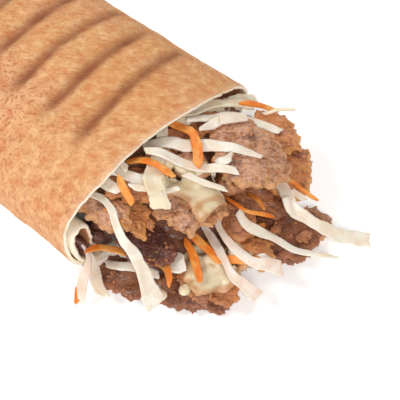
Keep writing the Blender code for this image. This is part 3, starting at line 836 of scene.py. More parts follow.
@dataclass
class Flatbread:
    """The flatbread, rolled and pressed, with its inner end curled over inside the mouth."""

    tuck_x: float = -72.5 * MM
    height: float = 36.5 * MM
    near_half_width: float = 37.5 * MM
    far_half_width: float = 39.0 * MM
    far_flare: float = 2.0 * MM
    near_squareness: float = 3.0
    far_squareness: float = 2.3
    mouth_far_squareness: float = 1.75
    opens_from: float = 0.55
    thickness: float = 1.3 * MM
    layer_gap: float = 0.3 * MM
    girth: float = 290 * MM
    inner_turn: float = 0.70
    curl_start: float = 0.90
    curl_points: int = 24
    cap_bulge: float = 7.4 * MM
    cap_hollow: float = 2.0 * MM
    pleat: float = 1.9 * MM
    flap_step: float = 1.9 * MM
    flat_press: float = 0.3 * MM
    tail_angle: float = math.radians(-66)
    leaves_wall: float = math.radians(-546)
    arch_radius: float = 2.4 * MM
    arch_lift: float = 0.6 * MM
    flap_fall: Tuple[Tuple[float, float], ...] = ((4.5, 0.0), (9.0, 0.4), (12.0, 2.0), (13.6, 5.2))
    column_step: float = 1.0 * MM
    row_step: float = 1.0 * MM
    mark_pitch: float = 14.0 * MM
    first_mark: float = -16.6 * MM
    mark_slant: float = math.tan(math.radians(7.15))
    mark_width: Tuple[float, float] = (2.5 * MM, 1.6 * MM)
    mark_depth: float = 0.9 * MM
    close_rows_from: float = 0.93
    close_rows: int = 22
    inner_lip_to: float = 0.88
    inner_lip_rows: int = 18
    inner_rows: int = 26
    bend_rows: int = 9
    cap_rows: int = 34
    columns: int = field(init=False, default=0)

    def outline(self, angle: np.ndarray, inset: np.ndarray, openness: float) -> np.ndarray:
        """Points (y, z) on the roll's section, inset from its outline.

        Args:
            angle: directions from the roll's middle.
            inset: how far inside the outline.
            openness: 0 along the roll and 1 at the mouth.

        Returns:
            One point a row.
        """
        cosine, sine = np.cos(angle), np.sin(angle)
        far = cosine >= 0
        opening = openness * (sine > 0)
        opened = self.far_squareness + (self.mouth_far_squareness - self.far_squareness) * opening
        squareness = np.where(far, opened, self.near_squareness)
        half_width = np.where(far, self.far_half_width + self.far_flare * openness, self.near_half_width)
        across = (half_width - inset) * np.sign(cosine) * np.abs(cosine) ** (2 / squareness)
        rise = (self.height / 2 + self.flat_press - inset) * np.sign(sine) * np.abs(sine) ** (2 / squareness)
        return np.stack([across, self.height / 2 + rise], axis=1)

    def middle_line(self, openness: float) -> np.ndarray:
        """The middle of the bread in a section, from the outer end round to the curl.

        Args:
            openness: 0 along the roll and 1 at the mouth.

        Returns:
            Points (y, z), one a row.
        """
        angle = np.arange(self.tail_angle, self.leaves_wall, math.radians(-0.5))
        inwards = smooth_step(-np.degrees(angle), 376, 414) * (self.thickness + self.layer_gap)
        line = self.outline(angle, self.thickness / 2 + inwards, openness)
        arch_y = line[-1, 0] + self.layer_gap + self.arch_radius
        arch_z = line[-1, 1] + self.arch_lift
        turn = np.linspace(math.pi, 0, self.curl_points)
        arch = self.arch_radius * np.stack([np.cos(turn), np.sin(turn)], axis=1) + (arch_y, arch_z)
        falls = np.array([(0.0, 0.0), *self.flap_fall]) * MM
        fine = np.linspace(0, falls[-1, 0], self.curl_points)[1:]
        aside = np.interp(fine, falls[:, 0], falls[:, 1])
        flap = np.stack([arch[-1, 0] + aside, arch[-1, 1] - fine], axis=1)
        return np.vstack([line, arch, flap])

    def resample(self, line: np.ndarray) -> np.ndarray:
        """Space a section's points evenly: closely on the outer turn, and closest at the curl.

        Args:
            line: the section's points.

        Returns:
            As many points as the sheet has columns.
        """
        steps = distance_along(line)
        total = steps[-1]
        if not self.columns:
            self.columns = int(total / self.column_step)
        wanted = self.turn_share(np.linspace(0, 1, self.columns)) * total
        return np.stack([np.interp(wanted, steps, line[:, axis]) for axis in (0, 1)], axis=1)

    def turn_share(self, columns: np.ndarray) -> np.ndarray:
        """Turn places among the columns into shares of the section's length.

        Args:
            columns: places among the columns, from 0 to 1.

        Returns:
            The shares.
        """
        share = np.linspace(0, 1, 2000)
        density = np.where(share < self.inner_turn, 1.0, np.where(share < self.curl_start, 0.6, 1.8))
        amount = np.cumsum(density)
        amount = (amount - amount[0]) / (amount[-1] - amount[0])
        return np.interp(columns, amount, share)

    def marks(self, places: np.ndarray) -> np.ndarray:
        """How strongly the grill has pressed and browned each place, from 0 to 1.

        Args:
            places: places, one row each.

        Returns:
            One number for each place.
        """
        out = places[:, 0] - MOUTH_X
        row = (self.first_mark - self.mark_slant * places[:, 1] - out) / self.mark_pitch
        wander = 0.06 * lumps(places, 20 * MM, 3)
        away = (row + wander - np.round(row + wander)) * self.mark_pitch
        width = np.where(away > 0, *self.mark_width)
        line = np.exp(-((away / width) ** 2)) * (row > -0.5)
        uneven = lumps(places, 9 * MM, 5)
        level = places[:, 2] + 2.0 * MM * uneven
        pressed = smooth_step(level - self.height, -10.0 * MM, -5.0 * MM)
        pressed *= smooth_step(places[:, 1] + 2.5 * MM * uneven, -21 * MM, -12 * MM)
        pressed = np.maximum(pressed, 0.8 * smooth_step(-level, -1.5 * MM, 0.3 * MM))
        return line * pressed * (0.85 + 0.3 * lumps(places, 7 * MM, 8))

    def close_end(self, line: np.ndarray, outward: np.ndarray, shrink: float) -> None:
        """Draw a section in towards the middle of the tucked end, with its folds.

        Args:
            line: the section's places, which are moved.
            outward: the directions out of the bread there, which are turned.
            shrink: 1 at the roll's wall and 0 at the middle of the end.
        """
        middle = np.array([0.0, self.height / 2])
        aside = line[:, 1:] - middle
        angle = np.arctan2(aside[:, 1], aside[:, 0])
        wobble = angle + 0.35 * np.sin(2 * angle + 1)
        folds = np.abs(np.sin(3.5 * wobble + 1.6 * (1 - shrink))) ** 0.7 - 0.6
        depth = self.pleat * np.sin(math.pi * shrink) * (1.2 - shrink)
        wavy = 3 * MM * np.sin(aside[:, 0] * shrink * 90)
        over = aside[:, 1] * shrink * 0.8 + aside[:, 0] * shrink * 0.35 + wavy
        flap = self.flap_step * smooth_step(over, -0.5 * MM, 0.5 * MM) * math.sin(math.pi * shrink) ** 0.5
        ahead = self.cap_bulge * math.sqrt(1 - shrink**3.2)
        ahead -= self.cap_hollow * float(1 - smooth_step(np.array(shrink), 0.0, 0.5))
        line[:, 1:] = middle + aside * shrink
        line[:, 0] = self.tuck_x - ahead - folds * depth - flap + 0.6 * MM
        outward[:, 1:] *= shrink
        outward[:, 0] = -math.sqrt(1 - shrink**2)

    def lay_out(self) -> Sheet:
        """Lay the middle of the bread out as one sheet folded back over its cut lip.

        Returns:
            The sheet.
        """
        step = self.row_step / (MOUTH_X - self.tuck_x)
        close = self.close_rows_from
        wall = np.concatenate([np.arange(0, close, step), np.linspace(close, 1, self.close_rows)])
        inner = np.concatenate([np.linspace(1, self.inner_lip_to, self.inner_lip_rows),
                                np.linspace(self.inner_lip_to - 0.02, 0, self.inner_rows)])
        bend = np.linspace(0, math.pi, self.bend_rows)[1:-1]
        cap = np.sin(np.linspace(0, math.pi / 2, self.cap_rows)[:-1])
        ones = np.ones
        shrink = np.concatenate([cap, ones(len(wall) + len(bend) + len(inner)), cap[::-1]])
        share = np.concatenate([0 * cap, wall, ones(len(bend)), inner, 0 * cap])
        side = np.concatenate([ones(len(cap) + len(wall)), np.cos(bend), -ones(len(inner) + len(cap))])
        bulge = np.concatenate([0 * cap, 0 * wall, np.sin(bend), 0 * inner, 0 * cap])
        mouth = [round(float(openness), 4) for openness in smooth_step(share, self.opens_from, 1.0)]
        sections: Dict[float, np.ndarray] = {}
        for openness in mouth:
            if openness not in sections:
                sections[openness] = self.resample(self.middle_line(openness))
        around = np.linspace(0, 1, self.columns)
        lip = 0.8 * MM * (np.sin(around * 17) + 0.5 * np.sin(around * 41 + 1))
        lip += 0.35 * MM * lumps(np.outer(around * self.girth, (1, 0, 0)), 2.5 * MM, 4, 2)
        places = np.zeros((len(share), self.columns, 3))
        outward = np.zeros_like(places)
        for row, openness in enumerate(mouth):
            places[row, :, 0] = self.tuck_x + (MOUTH_X + lip - self.tuck_x) * share[row]
            places[row, :, 1:] = sections[openness]
            run = unit(np.gradient(sections[openness], axis=0))
            outward[row, :, 1], outward[row, :, 2] = -run[:, 1], run[:, 0]
            if shrink[row] < 1:
                self.close_end(places[row], outward[row], shrink[row])
        share, side, bulge = (np.repeat(values, self.columns) for values in (share, side, bulge))
        around = np.tile(around, len(mouth))
        return Sheet(places.reshape(-1, 3), outward.reshape(-1, 3), share, around, side, bulge)

    def thicken(self, sheet: Sheet, mark: np.ndarray) -> np.ndarray:
        """Give the sheet its thickness, its sagging, its pressed marks and its creases.

        Args:
            sheet: the middle of the bread.
            mark: how strongly each place is pressed.

        Returns:
            The vertices' places.
        """
        sag = 0.55 * MM * lumps(sheet.places, 34 * MM, 1) + 0.28 * MM * lumps(sheet.places, 11 * MM, 2, 2)
        free = smooth_step(sheet.places[:, 2], 1.0 * MM, 8 * MM)
        middle = sheet.places + sheet.outward * (sag * free - mark * self.mark_depth)[:, None]
        thick = self.thickness / 2 * (1 + 0.16 * lumps(sheet.places, 6 * MM, 6, 2))
        thick *= 1 - 0.05 * smooth_step(sheet.share, 0.95, 1.0)
        ends = np.ones(self.columns)
        ends[[0, -1]] = 0.05
        ends[[1, -2]] = 0.7
        thick *= np.tile(ends, len(thick) // self.columns)
        shaped = middle + sheet.outward * (thick * sheet.side)[:, None]
        shaped[:, 0] += thick * sheet.bulge
        crease = 0.10 * MM * lumps(shaped * (0.5, 1, 1), 1.9 * MM, 9, 2) * (sheet.side > 0.9) * free
        shaped += sheet.outward * crease[:, None]
        shaped[:, 2] = np.maximum(shaped[:, 2], 0.02 * MM)
        return shaped

    def paint(self, piece: bpy.types.Object, sheet: Sheet, mark: np.ndarray) -> None:
        """Store what the bread's material reads: its blush with painted light on the near wall, marks, crumb,
        sides, and its toast with painted shade on the inner face and in the curl's hollow.

        Args:
            piece: the bread's mesh.
            sheet: the middle of the bread.
            mark: how strongly each place is pressed.
        """
        near = smooth_step(-sheet.places[:, 1], -6 * MM, 26 * MM)
        behind = smooth_step(MOUTH_X - sheet.places[:, 0], 12 * MM, 62 * MM)
        # The near wall's blush, lighter than the top: partly its own tone, partly painted light.
        carry(piece, "blush", np.clip(near * (0.3 + 0.7 * behind) + 0.25 * behind, 0, 1))
        carry(piece, "mark", np.clip(mark, 0, 1) * (sheet.side > 0.9))
        turned = self.turn_share(sheet.around)
        inner_turn = smooth_step(turned, self.inner_turn, self.inner_turn + 0.02)
        curl = smooth_step(turned, self.curl_start, self.curl_start + 0.02)
        inside = smooth_step(-sheet.side, -0.98, -0.75)
        cut = inside * smooth_step(sheet.share, 0.985, 1.0)
        floury = 0.15 * smooth_step(sheet.share, 0.988, 1.0)
        opened = smooth_step(sheet.share, 0.0, 0.04)
        # The curl's hollow side loses its crumb and turns toast brown: partly its crust, partly painted
        # shade.
        hollow = curl * smooth_step(-sheet.side, 0.3, 0.95)
        carry(piece, "crumb", np.maximum(np.maximum(cut, inner_turn * opened), floury) * (1 - hollow))
        carry(piece, "side", smooth_step(np.abs(sheet.places[:, 1]), 15 * MM, 30 * MM))
        carry(piece, "toasted", np.maximum(inside * (1 - inner_turn), 0.75 * hollow))

    def build(self, material: bpy.types.Material) -> bpy.types.Object:
        """Model the roll.

        Args:
            material: the bread's material.

        Returns:
            The finished piece.
        """
        sheet = self.lay_out()
        mark = self.marks(sheet.places)
        piece = add_grid("rolled_flatbread", len(sheet.share) // self.columns, self.columns)
        shaped = self.thicken(sheet, mark)
        set_places(piece, shaped)
        set_grain(piece, shaped[:, 0], sheet.around * self.girth)
        self.paint(piece, sheet, mark)
        edit(piece, lambda: bpy.ops.mesh.remove_doubles(threshold=0.12 * MM),
             lambda: bpy.ops.mesh.normals_make_consistent(inside=False))
        dress(piece, material, "flatbread", "flatbread")
        return piece


# ---------------------------------------------------------------- the filling


@dataclass
class MeatSlice:
    """One thin, ragged slice of browned meat."""

    node: str
    grit: float = 1.0
    pull: float = 0.0
    pull_toward: float = 0.0
    tear_depth: float = 1.8 * MM
    voxel: float = 0.42 * MM
    least_bit: int = 200

    def build(self, material: bpy.types.Material) -> bpy.types.Object:
        """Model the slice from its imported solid.

        Args:
            material: its material.

        Returns:
            The finished piece.
        """
        seed = seed_of(self.node, 97)
        piece = copy_node(self.node, "browned_" + self.node)
        edit(piece, lambda: bpy.ops.mesh.subdivide(number_cuts=5, smoothness=0.5))
        set_places(piece, self.tear(places_of(piece), seed))
        modify(piece, "REMESH", mode="VOXEL", voxel_size=self.voxel)
        drop_bits(piece, self.least_bit)
        modify(piece, "SMOOTH", factor=0.5, iterations=1)
        self.roughen(piece, seed)
        dress(piece, material, "meat", self.node)
        return piece

    def tear(self, places: np.ndarray, seed: int) -> np.ndarray:
        """Buckle a slice, tear its edge and draw it in where it is pulled.

        Args:
            places: its vertices' places.
            seed: picks its pattern.

        Returns:
            Their new places.
        """
        aside = (places - places.mean(axis=0))[:, :2]
        distance = np.linalg.norm(aside, axis=1)
        sector = (np.arctan2(aside[:, 1], aside[:, 0]) * 18 / math.pi).astype(int)
        reach = np.zeros(37)
        np.maximum.at(reach, sector, distance)
        edge = smooth_step(distance / reach[sector], 0.6, 1.0)
        places[:, 2] += 0.7 * MM * lumps(places * (1, 1, 0.2), 6 * MM, seed)
        flat = places * (1, 1, 0.3)
        push = np.stack([lumps(flat, 3.0 * MM, seed + 1, 3), lumps(flat, 3.0 * MM, seed + 2, 3)], axis=1)
        tears = smooth_step(-np.abs(lumps(flat, 5 * MM, seed + 7, 2)), -0.2, 0.0)
        tears *= smooth_step(edge, 0.4, 1.0)
        inwards = aside / np.maximum(distance, 0.1 * MM)[:, None] * -self.tear_depth
        places[:, :2] += push * (edge * 1.5 * MM)[:, None] + inwards * tears[:, None]
        toward = (math.cos(math.radians(self.pull_toward)), math.sin(math.radians(self.pull_toward)))
        drawn = np.maximum(aside @ toward / reach.max(), 0) ** 1.5
        places[:, :2] -= np.outer(drawn * self.pull * MM, toward)
        return places

    def roughen(self, piece: bpy.types.Object, seed: int) -> None:
        """Give a remeshed slice its grain, its pits and the numbers its material reads.

        Args:
            piece: the slice's mesh.
            seed: picks its pattern.
        """
        places, normals = places_of(piece), normals_of(piece)
        axis = np.linalg.svd(places - places.mean(axis=0), full_matrices=False)[2][2]
        side = np.flatnonzero(np.abs(normals @ axis) < 0.5)
        tree = KDTree(len(side))
        for index in side:
            tree.insert(places[index], int(index))
        tree.balance()
        gap = np.array([tree.find(place)[2] for place in places])
        rim = smooth_step(-gap, -1.8 * MM, -0.2 * MM)
        coarse = lumps(places, 4.2 * MM, seed + 3, 2)
        grains = pebbles(places, 1.1 * MM, seed + 4)
        fine = pebbles(places, 0.6 * MM, seed + 5)
        height = 1.1 * coarse + 0.32 * grains + 0.22 * fine
        push = (height * 0.26 + rim * 0.45 * lumps(places, 1.5 * MM, seed + 6, 2)) * MM * self.grit
        set_places(piece, places + normals * push[:, None])
        carry(piece, "relief", height)
        carry(piece, "rim", rim)


@dataclass(frozen=True)
class Chunk:
    """One chunk's place past the mouth, across and above the floor, and its radii, in millimetres."""

    out: float
    across: float
    rise: float
    length: float
    width: float
    thick: float


@dataclass
class Chunks:
    """Soft chunks packed in where the slices leave room."""

    name: str
    slot: str
    chunks: Tuple[Chunk, ...]
    rough: float = 0.8 * MM
    voxel: float = 0.4 * MM

    def build(self, material: bpy.types.Material) -> bpy.types.Object:
        """Model the chunks as one lumpy piece.

        Args:
            material: its material.

        Returns:
            The finished piece.
        """
        shapes = []
        model = add_ball(3)
        ball = places_of(model)
        for chunk in self.chunks:
            shape = ball * (chunk.length * MM, chunk.width * MM, chunk.thick * MM)
            shapes.append(shape + (MOUTH_X + chunk.out * MM, chunk.across * MM, chunk.rise * MM))
        piece = join_copies(model, self.name, shapes)
        modify(piece, "REMESH", mode="VOXEL", voxel_size=self.voxel)
        places, normals = places_of(piece), normals_of(piece)
        height = 0.9 * lumps(places, 4 * MM, 7, 2) + 0.6 * pebbles(places, 1.8 * MM, 8)
        places = places + normals * (self.rough * height)[:, None]
        places[:, 2] = np.maximum(places[:, 2], 0.1 * MM)
        set_places(piece, places)
        carry(piece, "relief", height)
        dress(piece, material, self.slot)
        return piece


@dataclass
class PackedFilling:
    """What fills the roll and shows between the slices."""

    node: str = "filling_core"
    ragged: float = 2.2 * MM
    pitted: float = 0.8 * MM
    voxel: float = 0.9 * MM

    def build(self, material: bpy.types.Material) -> bpy.types.Object:
        """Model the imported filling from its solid.

        Args:
            material: its material.

        Returns:
            The finished piece.
        """
        piece = copy_node(self.node, "packed_filling")
        modify(piece, "REMESH", mode="VOXEL", voxel_size=self.voxel)
        modify(piece, "SMOOTH", factor=0.5, iterations=10)
        places, normals = places_of(piece), normals_of(piece)
        height = 0.8 * lumps(places, 6 * MM, 5, 2) + 0.5 * pebbles(places, 2.6 * MM, 6)
        outside = smooth_step(places[:, 0], MOUTH_X - 20 * MM, MOUTH_X)
        wall = smooth_step(places[:, 0], MOUTH_X - 1 * MM, MOUTH_X + 2 * MM) * (1 - np.abs(normals[:, 2]))
        floor = smooth_step(places[:, 2], 0.3 * MM, 2.5 * MM)
        ragged = self.ragged * lumps(places * (1, 1, 2.6), 9 * MM, 12, 3) * wall
        set_places(piece, places + normals * ((height * self.pitted * outside + ragged) * floor)[:, None])
        carry(piece, "relief", height)
        carry(piece, "rim", np.zeros(len(places)))
        dress(piece, material, "filling", self.node)
        return piece


@dataclass
class Shred:
    """A thin strip cut from a vegetable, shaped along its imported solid."""

    node: str
    slot: str
    widen: float = 1.0
    ruffle: float = 0.25 * MM
    wave: float = 0.3 * MM
    taper: float = 0.15
    taper_share: float = 0.1
    flare: float = 0.0
    thickness: float = 0.75 * MM
    step: float = 0.5 * MM
    across: int = 7

    def stations(self) -> Tuple[np.ndarray, np.ndarray, np.ndarray]:
        """Read the strip's middle line and its side and thickness vectors from its solid.

        Returns:
            Middles, half-width vectors and thickness vectors.
        """
        copy = copy_node(self.node, "reading")
        places = places_of(copy)
        bpy.data.objects.remove(copy, do_unlink=True)
        centred = places - places.mean(axis=0)
        main = np.linalg.svd(centred, full_matrices=False)[2][0]
        order = np.argsort(centred @ main)
        for _ in range(3):
            rings = places[order].reshape(-1, 4, 3)
            middles = rings.mean(axis=1)
            forward = unit(np.gradient(middles, axis=0))
            nearest = np.linalg.norm(places[:, None] - middles[None], axis=2).argmin(axis=1)
            shift = ((places - middles[nearest]) * forward[nearest]).sum(axis=1)
            order = np.argsort(distance_along(middles)[nearest] + shift)
        sides: List[np.ndarray] = []
        lifts: List[np.ndarray] = []
        for ring, middle in zip(rings, middles):
            offsets = ring - middle
            halves = sorted(((offsets[0] + corner) / 2 for corner in offsets[1:]), key=np.linalg.norm)
            lift, side = halves[1:]
            if sides and np.dot(side, sides[-1]) < 0:
                side = -side
            sides.append(side)
            lifts.append(-lift if lift[2] < 0 else lift)
        return middles, np.array(sides), np.array(lifts)

    def build(self, material: bpy.types.Material) -> bpy.types.Object:
        """Model the strip as a thin sheet along its middle line.

        Args:
            material: its material.

        Returns:
            The finished piece.
        """
        middles, sides, lifts = self.stations()
        piece = self.model(middles, sides * self.widen, lifts)
        dress(piece, material, self.slot, self.node)
        return piece

    def model(self, middles: np.ndarray, sides: np.ndarray, lifts: np.ndarray) -> bpy.types.Object:
        """Model a strip through stations.

        Args:
            middles: the middle line's places.
            sides: half-width vectors there.
            lifts: thickness vectors there.

        Returns:
            The strip's mesh.
        """
        seed = seed_of(self.node, 89)
        along = distance_along(middles)
        count = max(8, int(along[-1] / self.step))
        wanted = np.linspace(0, along[-1], count)
        middle, side, lift = (self.curve(along, values, wanted) for values in (middles, sides, lifts))
        across = np.linspace(-1, 1, self.across)
        width = self.widths(wanted, across, middles[-1, 0] > middles[0, 0], seed)
        shift = self.torn_ends(wanted, across, seed)
        grid = middle[:, None] + side[:, None] * width[:, :, None]
        grid = grid + unit(np.gradient(middle, axis=0))[:, None] * shift[:, :, None]
        flat = grid.reshape(-1, 3)
        edge = np.tile(across**2, count)
        half_width = np.linalg.norm(side, axis=1).repeat(self.across)
        rise = self.wave * lumps(flat, 7 * MM, seed + 2)
        rise += self.ruffle * edge * lumps(flat, 2.8 * MM, seed + 3)
        cup = 0.10 * half_width * edge * (1 if seed % 2 else -1)
        flat = flat + np.repeat(unit(lift), self.across, axis=0) * (rise + cup)[:, None]
        flat[:, 2] = np.maximum(flat[:, 2], self.thickness / 2 + 0.1 * MM)
        piece = add_grid("strip_" + self.node, count, self.across)
        set_places(piece, flat)
        set_grain(piece, np.repeat(wanted, self.across) + seed * MM, np.tile(across, count) * half_width)
        modify(piece, "SOLIDIFY", thickness=self.thickness, offset=0.0, use_even_offset=True)
        modify(piece, "BEVEL", width=0.3 * self.thickness, segments=2, limit_method="ANGLE",
               angle_limit=math.radians(50))
        return piece

    def widths(self, wanted: np.ndarray, across: np.ndarray, outwards: bool, seed: int) -> np.ndarray:
        """How far the strip's vertices lie from its middle line, with ragged edges and shaped ends.

        Args:
            wanted: distances along the strip.
            across: places across it, from -1 to 1.
            outwards: whether it runs away from the mouth.
            seed: picks its edges.

        Returns:
            A row for each distance, in half widths.
        """
        share = wanted / wanted[-1]
        ends = 1 - self.taper * (1 - smooth_step(np.minimum(share, 1 - share), 0, self.taper_share))
        ends *= 1 + self.flare * (2 * (share if outwards else 1 - share) ** 1.5 - 1)
        track = np.stack([wanted, np.full(len(wanted), seed * 0.01), np.zeros(len(wanted))], axis=1)
        left = 1 + 0.26 * lumps(track, 6 * MM, seed, 3)
        right = 1 + 0.26 * lumps(track, 6 * MM, seed + 1, 3)
        return np.where(across < 0, left[:, None], right[:, None]) * ends[:, None] * across

    @staticmethod
    def torn_ends(wanted: np.ndarray, across: np.ndarray, seed: int) -> np.ndarray:
        """How far the vertices near the strip's ends are shifted along it, slanted and torn.

        Args:
            wanted: distances along the strip.
            across: places across it, from -1 to 1.
            seed: picks its tears.

        Returns:
            A row for each distance.
        """
        share = wanted / wanted[-1]
        near_end = smooth_step(-np.minimum(share, 1 - share) * wanted[-1], -3 * MM, 0)
        slant = np.where(share < 0.5, math.sin(seed), math.cos(seed * 1.7))
        torn = 0.5 * MM * lumps(np.outer(across * MM, (1, 0, 0)), 0.9 * MM, seed)
        return near_end[:, None] * (slant[:, None] * 0.8 * MM * across + torn)

    @staticmethod
    def curve(along: np.ndarray, values: np.ndarray, wanted: np.ndarray) -> np.ndarray:
        """Read a smooth curve through values at stations along the strip.

        Args:
            along: the stations' distances along it.
            values: the values there, one row each.
            wanted: distances to read the curve at.

        Returns:
            One row for each wanted distance.
        """
        slopes = np.gradient(values, along, axis=0)
        index = np.clip(np.searchsorted(along, wanted) - 1, 0, len(along) - 2)
        span = (along[index + 1] - along[index])[:, None]
        part = (wanted - along[index])[:, None] / span
        near, far = (1 - part) ** 2, part**2
        start = values[index] * (1 + 2 * part) * near + slopes[index] * span * part * near
        end = values[index + 1] * far * (3 - 2 * part) + slopes[index + 1] * span * far * (part - 1)
        return start + end


class Heap:
    """What has been laid so far, for further pieces to lie on."""

    def __init__(self, pieces: Sequence[bpy.types.Object]) -> None:
        """Take the pieces in.

        Args:
            pieces: finished meshes.
        """
        points: List[Vector] = []
        faces: List[Tuple[int, ...]] = []
        self.owners: List[str] = []
        for piece in pieces:
            start = len(points)
            points.extend(vertex.co for vertex in piece.data.vertices)
            for face in piece.data.polygons:
                faces.append(tuple(start + index for index in face.vertices))
                self.owners.append(piece.name)
        self.tree = BVHTree.FromPolygons(points, faces)

    def land(self, out: float, across: float, top: float = 60 * MM) -> Tuple[float, Vector, str]:
        """Find the upper surface at a place.

        Args:
            out: place past the mouth.
            across: place along Y.
            top: height to look down from.

        Returns:
            The height, the surface's direction and the piece's name; the floor where nothing is met.
        """
        start = Vector((MOUTH_X + out, across, top))
        while True:
            place, normal, index, _ = self.tree.ray_cast(start, Vector((0, 0, -1)))
            if place is None:
                return 0.0, Vector((0, 0, 1)), ""
            if normal.z > 0:
                return place.z, normal, self.owners[index]
            start = place - Vector((0, 0, 0.01 * MM))

    def heights(self, out: np.ndarray, across: np.ndarray, top: float = 60 * MM) -> np.ndarray:
        """Find the upper surface's height at each of many places.

        Args:
            out: places past the mouth.
            across: places along Y.
            top: height to look down from.

        Returns:
            The heights, laid out as the places are.
        """
        spots = zip(out.ravel(), across.ravel())
        return np.array([self.land(*spot, top)[0] for spot in spots]).reshape(out.shape)

    def covered_share(self, out: np.ndarray, across: np.ndarray, ground: np.ndarray) -> np.ndarray:
        """How much of each place on a grid lies just under the heap, from 0 to 1.

        Args:
            out: places past the mouth.
            across: places along Y.
            ground: heights there.

        Returns:
            One share for each place.
        """
        cover = self.heights(out, across) - ground
        under = (cover > -0.5 * MM) & (cover < 2.5 * MM)
        for axis in (0, 1):
            under = under | np.roll(under, 1, axis) | np.roll(under, -1, axis)
        return soften(under * 1.0, 2)


@dataclass
class MeltedCheese:
    """Soft melted cheese that has run over the meat below it."""

    node: str
    bare: Tuple[Tuple[float, float, float], ...] = ()
    step: float = 0.4 * MM
    thickness: float = 0.9 * MM
    skin: float = 0.6 * MM
    overhang: float = 1.5 * MM
    steepest: float = 1.5
    sink: float = 1.3 * MM
    least_bit: int = 200

    def build(self, material: bpy.types.Material, heap: Heap, above: Heap) -> bpy.types.Object:
        """Model the cheese as a skin that follows what lies below it.

        Args:
            material: its material.
            heap: the meat that it lies on.
            above: the strips that lie on it.

        Returns:
            The finished piece.
        """
        seed = seed_of(self.node, 83)
        low, high = (np.array(corner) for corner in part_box(self.node))
        low, high = low - self.overhang, high + self.overhang
        rows = int((high[0] - low[0]) / self.step)
        columns = int((high[1] - low[1]) / self.step)
        piece = add_grid("melted_" + self.node, rows, columns)
        lines = (np.linspace(low[0], high[0], rows), np.linspace(low[1], high[1], columns))
        x, y = np.meshgrid(*lines, indexing="ij")
        ground = soften(heap.heights(x - MOUTH_X, y, high[2]), 14)
        steep = np.hypot(*np.gradient(ground, self.step)) > self.steepest
        ground -= self.sink * above.covered_share(x - MOUTH_X, y, ground)
        places = np.stack([x.ravel(), y.ravel(), np.zeros(rows * columns)], axis=1)
        amount = smooth_step(self.spread(places, (low + high) / 2, (high - low) / 2, seed), 0.02, 0.42)
        strands = lumps(places * (1.0, 0.3, 1), 2.0 * MM, seed + 2, 2)
        thick = self.thickness * amount * (1 + 0.45 * strands)
        places[:, 2] = ground.ravel() + thick - 0.7 * MM * (1 - smooth_step(amount, 0, 0.12))
        places[:, 2] = np.maximum(places[:, 2], 0.1 * MM)
        set_places(piece, places)
        carry(piece, "thin", 1 - smooth_step(amount + 0.2 * strands, 0.15, 0.85))
        keep = grow((amount > 0.002).reshape(rows, columns) & ~steep)
        trim(piece, ~keep.ravel())
        drop_bits(piece, self.least_bit)
        modify(piece, "SOLIDIFY", thickness=self.skin, offset=-1.0)
        modify(piece, "SMOOTH", factor=0.5, iterations=2)
        dress(piece, material, "cheese", self.node)
        return piece

    def spread(self, places: np.ndarray, middle: np.ndarray, reach: np.ndarray, seed: int) -> np.ndarray:
        """How far inside the cheese's ragged outline each place lies.

        Args:
            places: places, one row each.
            middle: the middle of the cheese.
            reach: half its size.
            seed: picks its outline.

        Returns:
            One number for each place, 0 at the outline.
        """
        away = np.hypot((places[:, 0] - middle[0]) / reach[0], (places[:, 1] - middle[1]) / reach[1])
        tongues = 0.34 * lumps(places * (1.0, 0.55, 1), 6.5 * MM, seed, 2)
        tongues += 0.1 * lumps(places, 2.2 * MM, seed + 1)
        spread = 1 - away + tongues
        for out, across, radius in self.bare:
            apart = np.hypot(places[:, 0] - MOUTH_X - out * MM, places[:, 1] - across * MM) / (radius * MM)
            spread = np.minimum(spread, 1.2 * (apart - 1) + 0.5 * tongues)
        return spread


@dataclass(frozen=True)
class Tear:
    """Where one torn sheet lies: its middle, length and width in millimetres, and its turn in degrees."""

    out: float
    across: float
    length: float
    width: float
    turn: float
    holes: float = 0.0


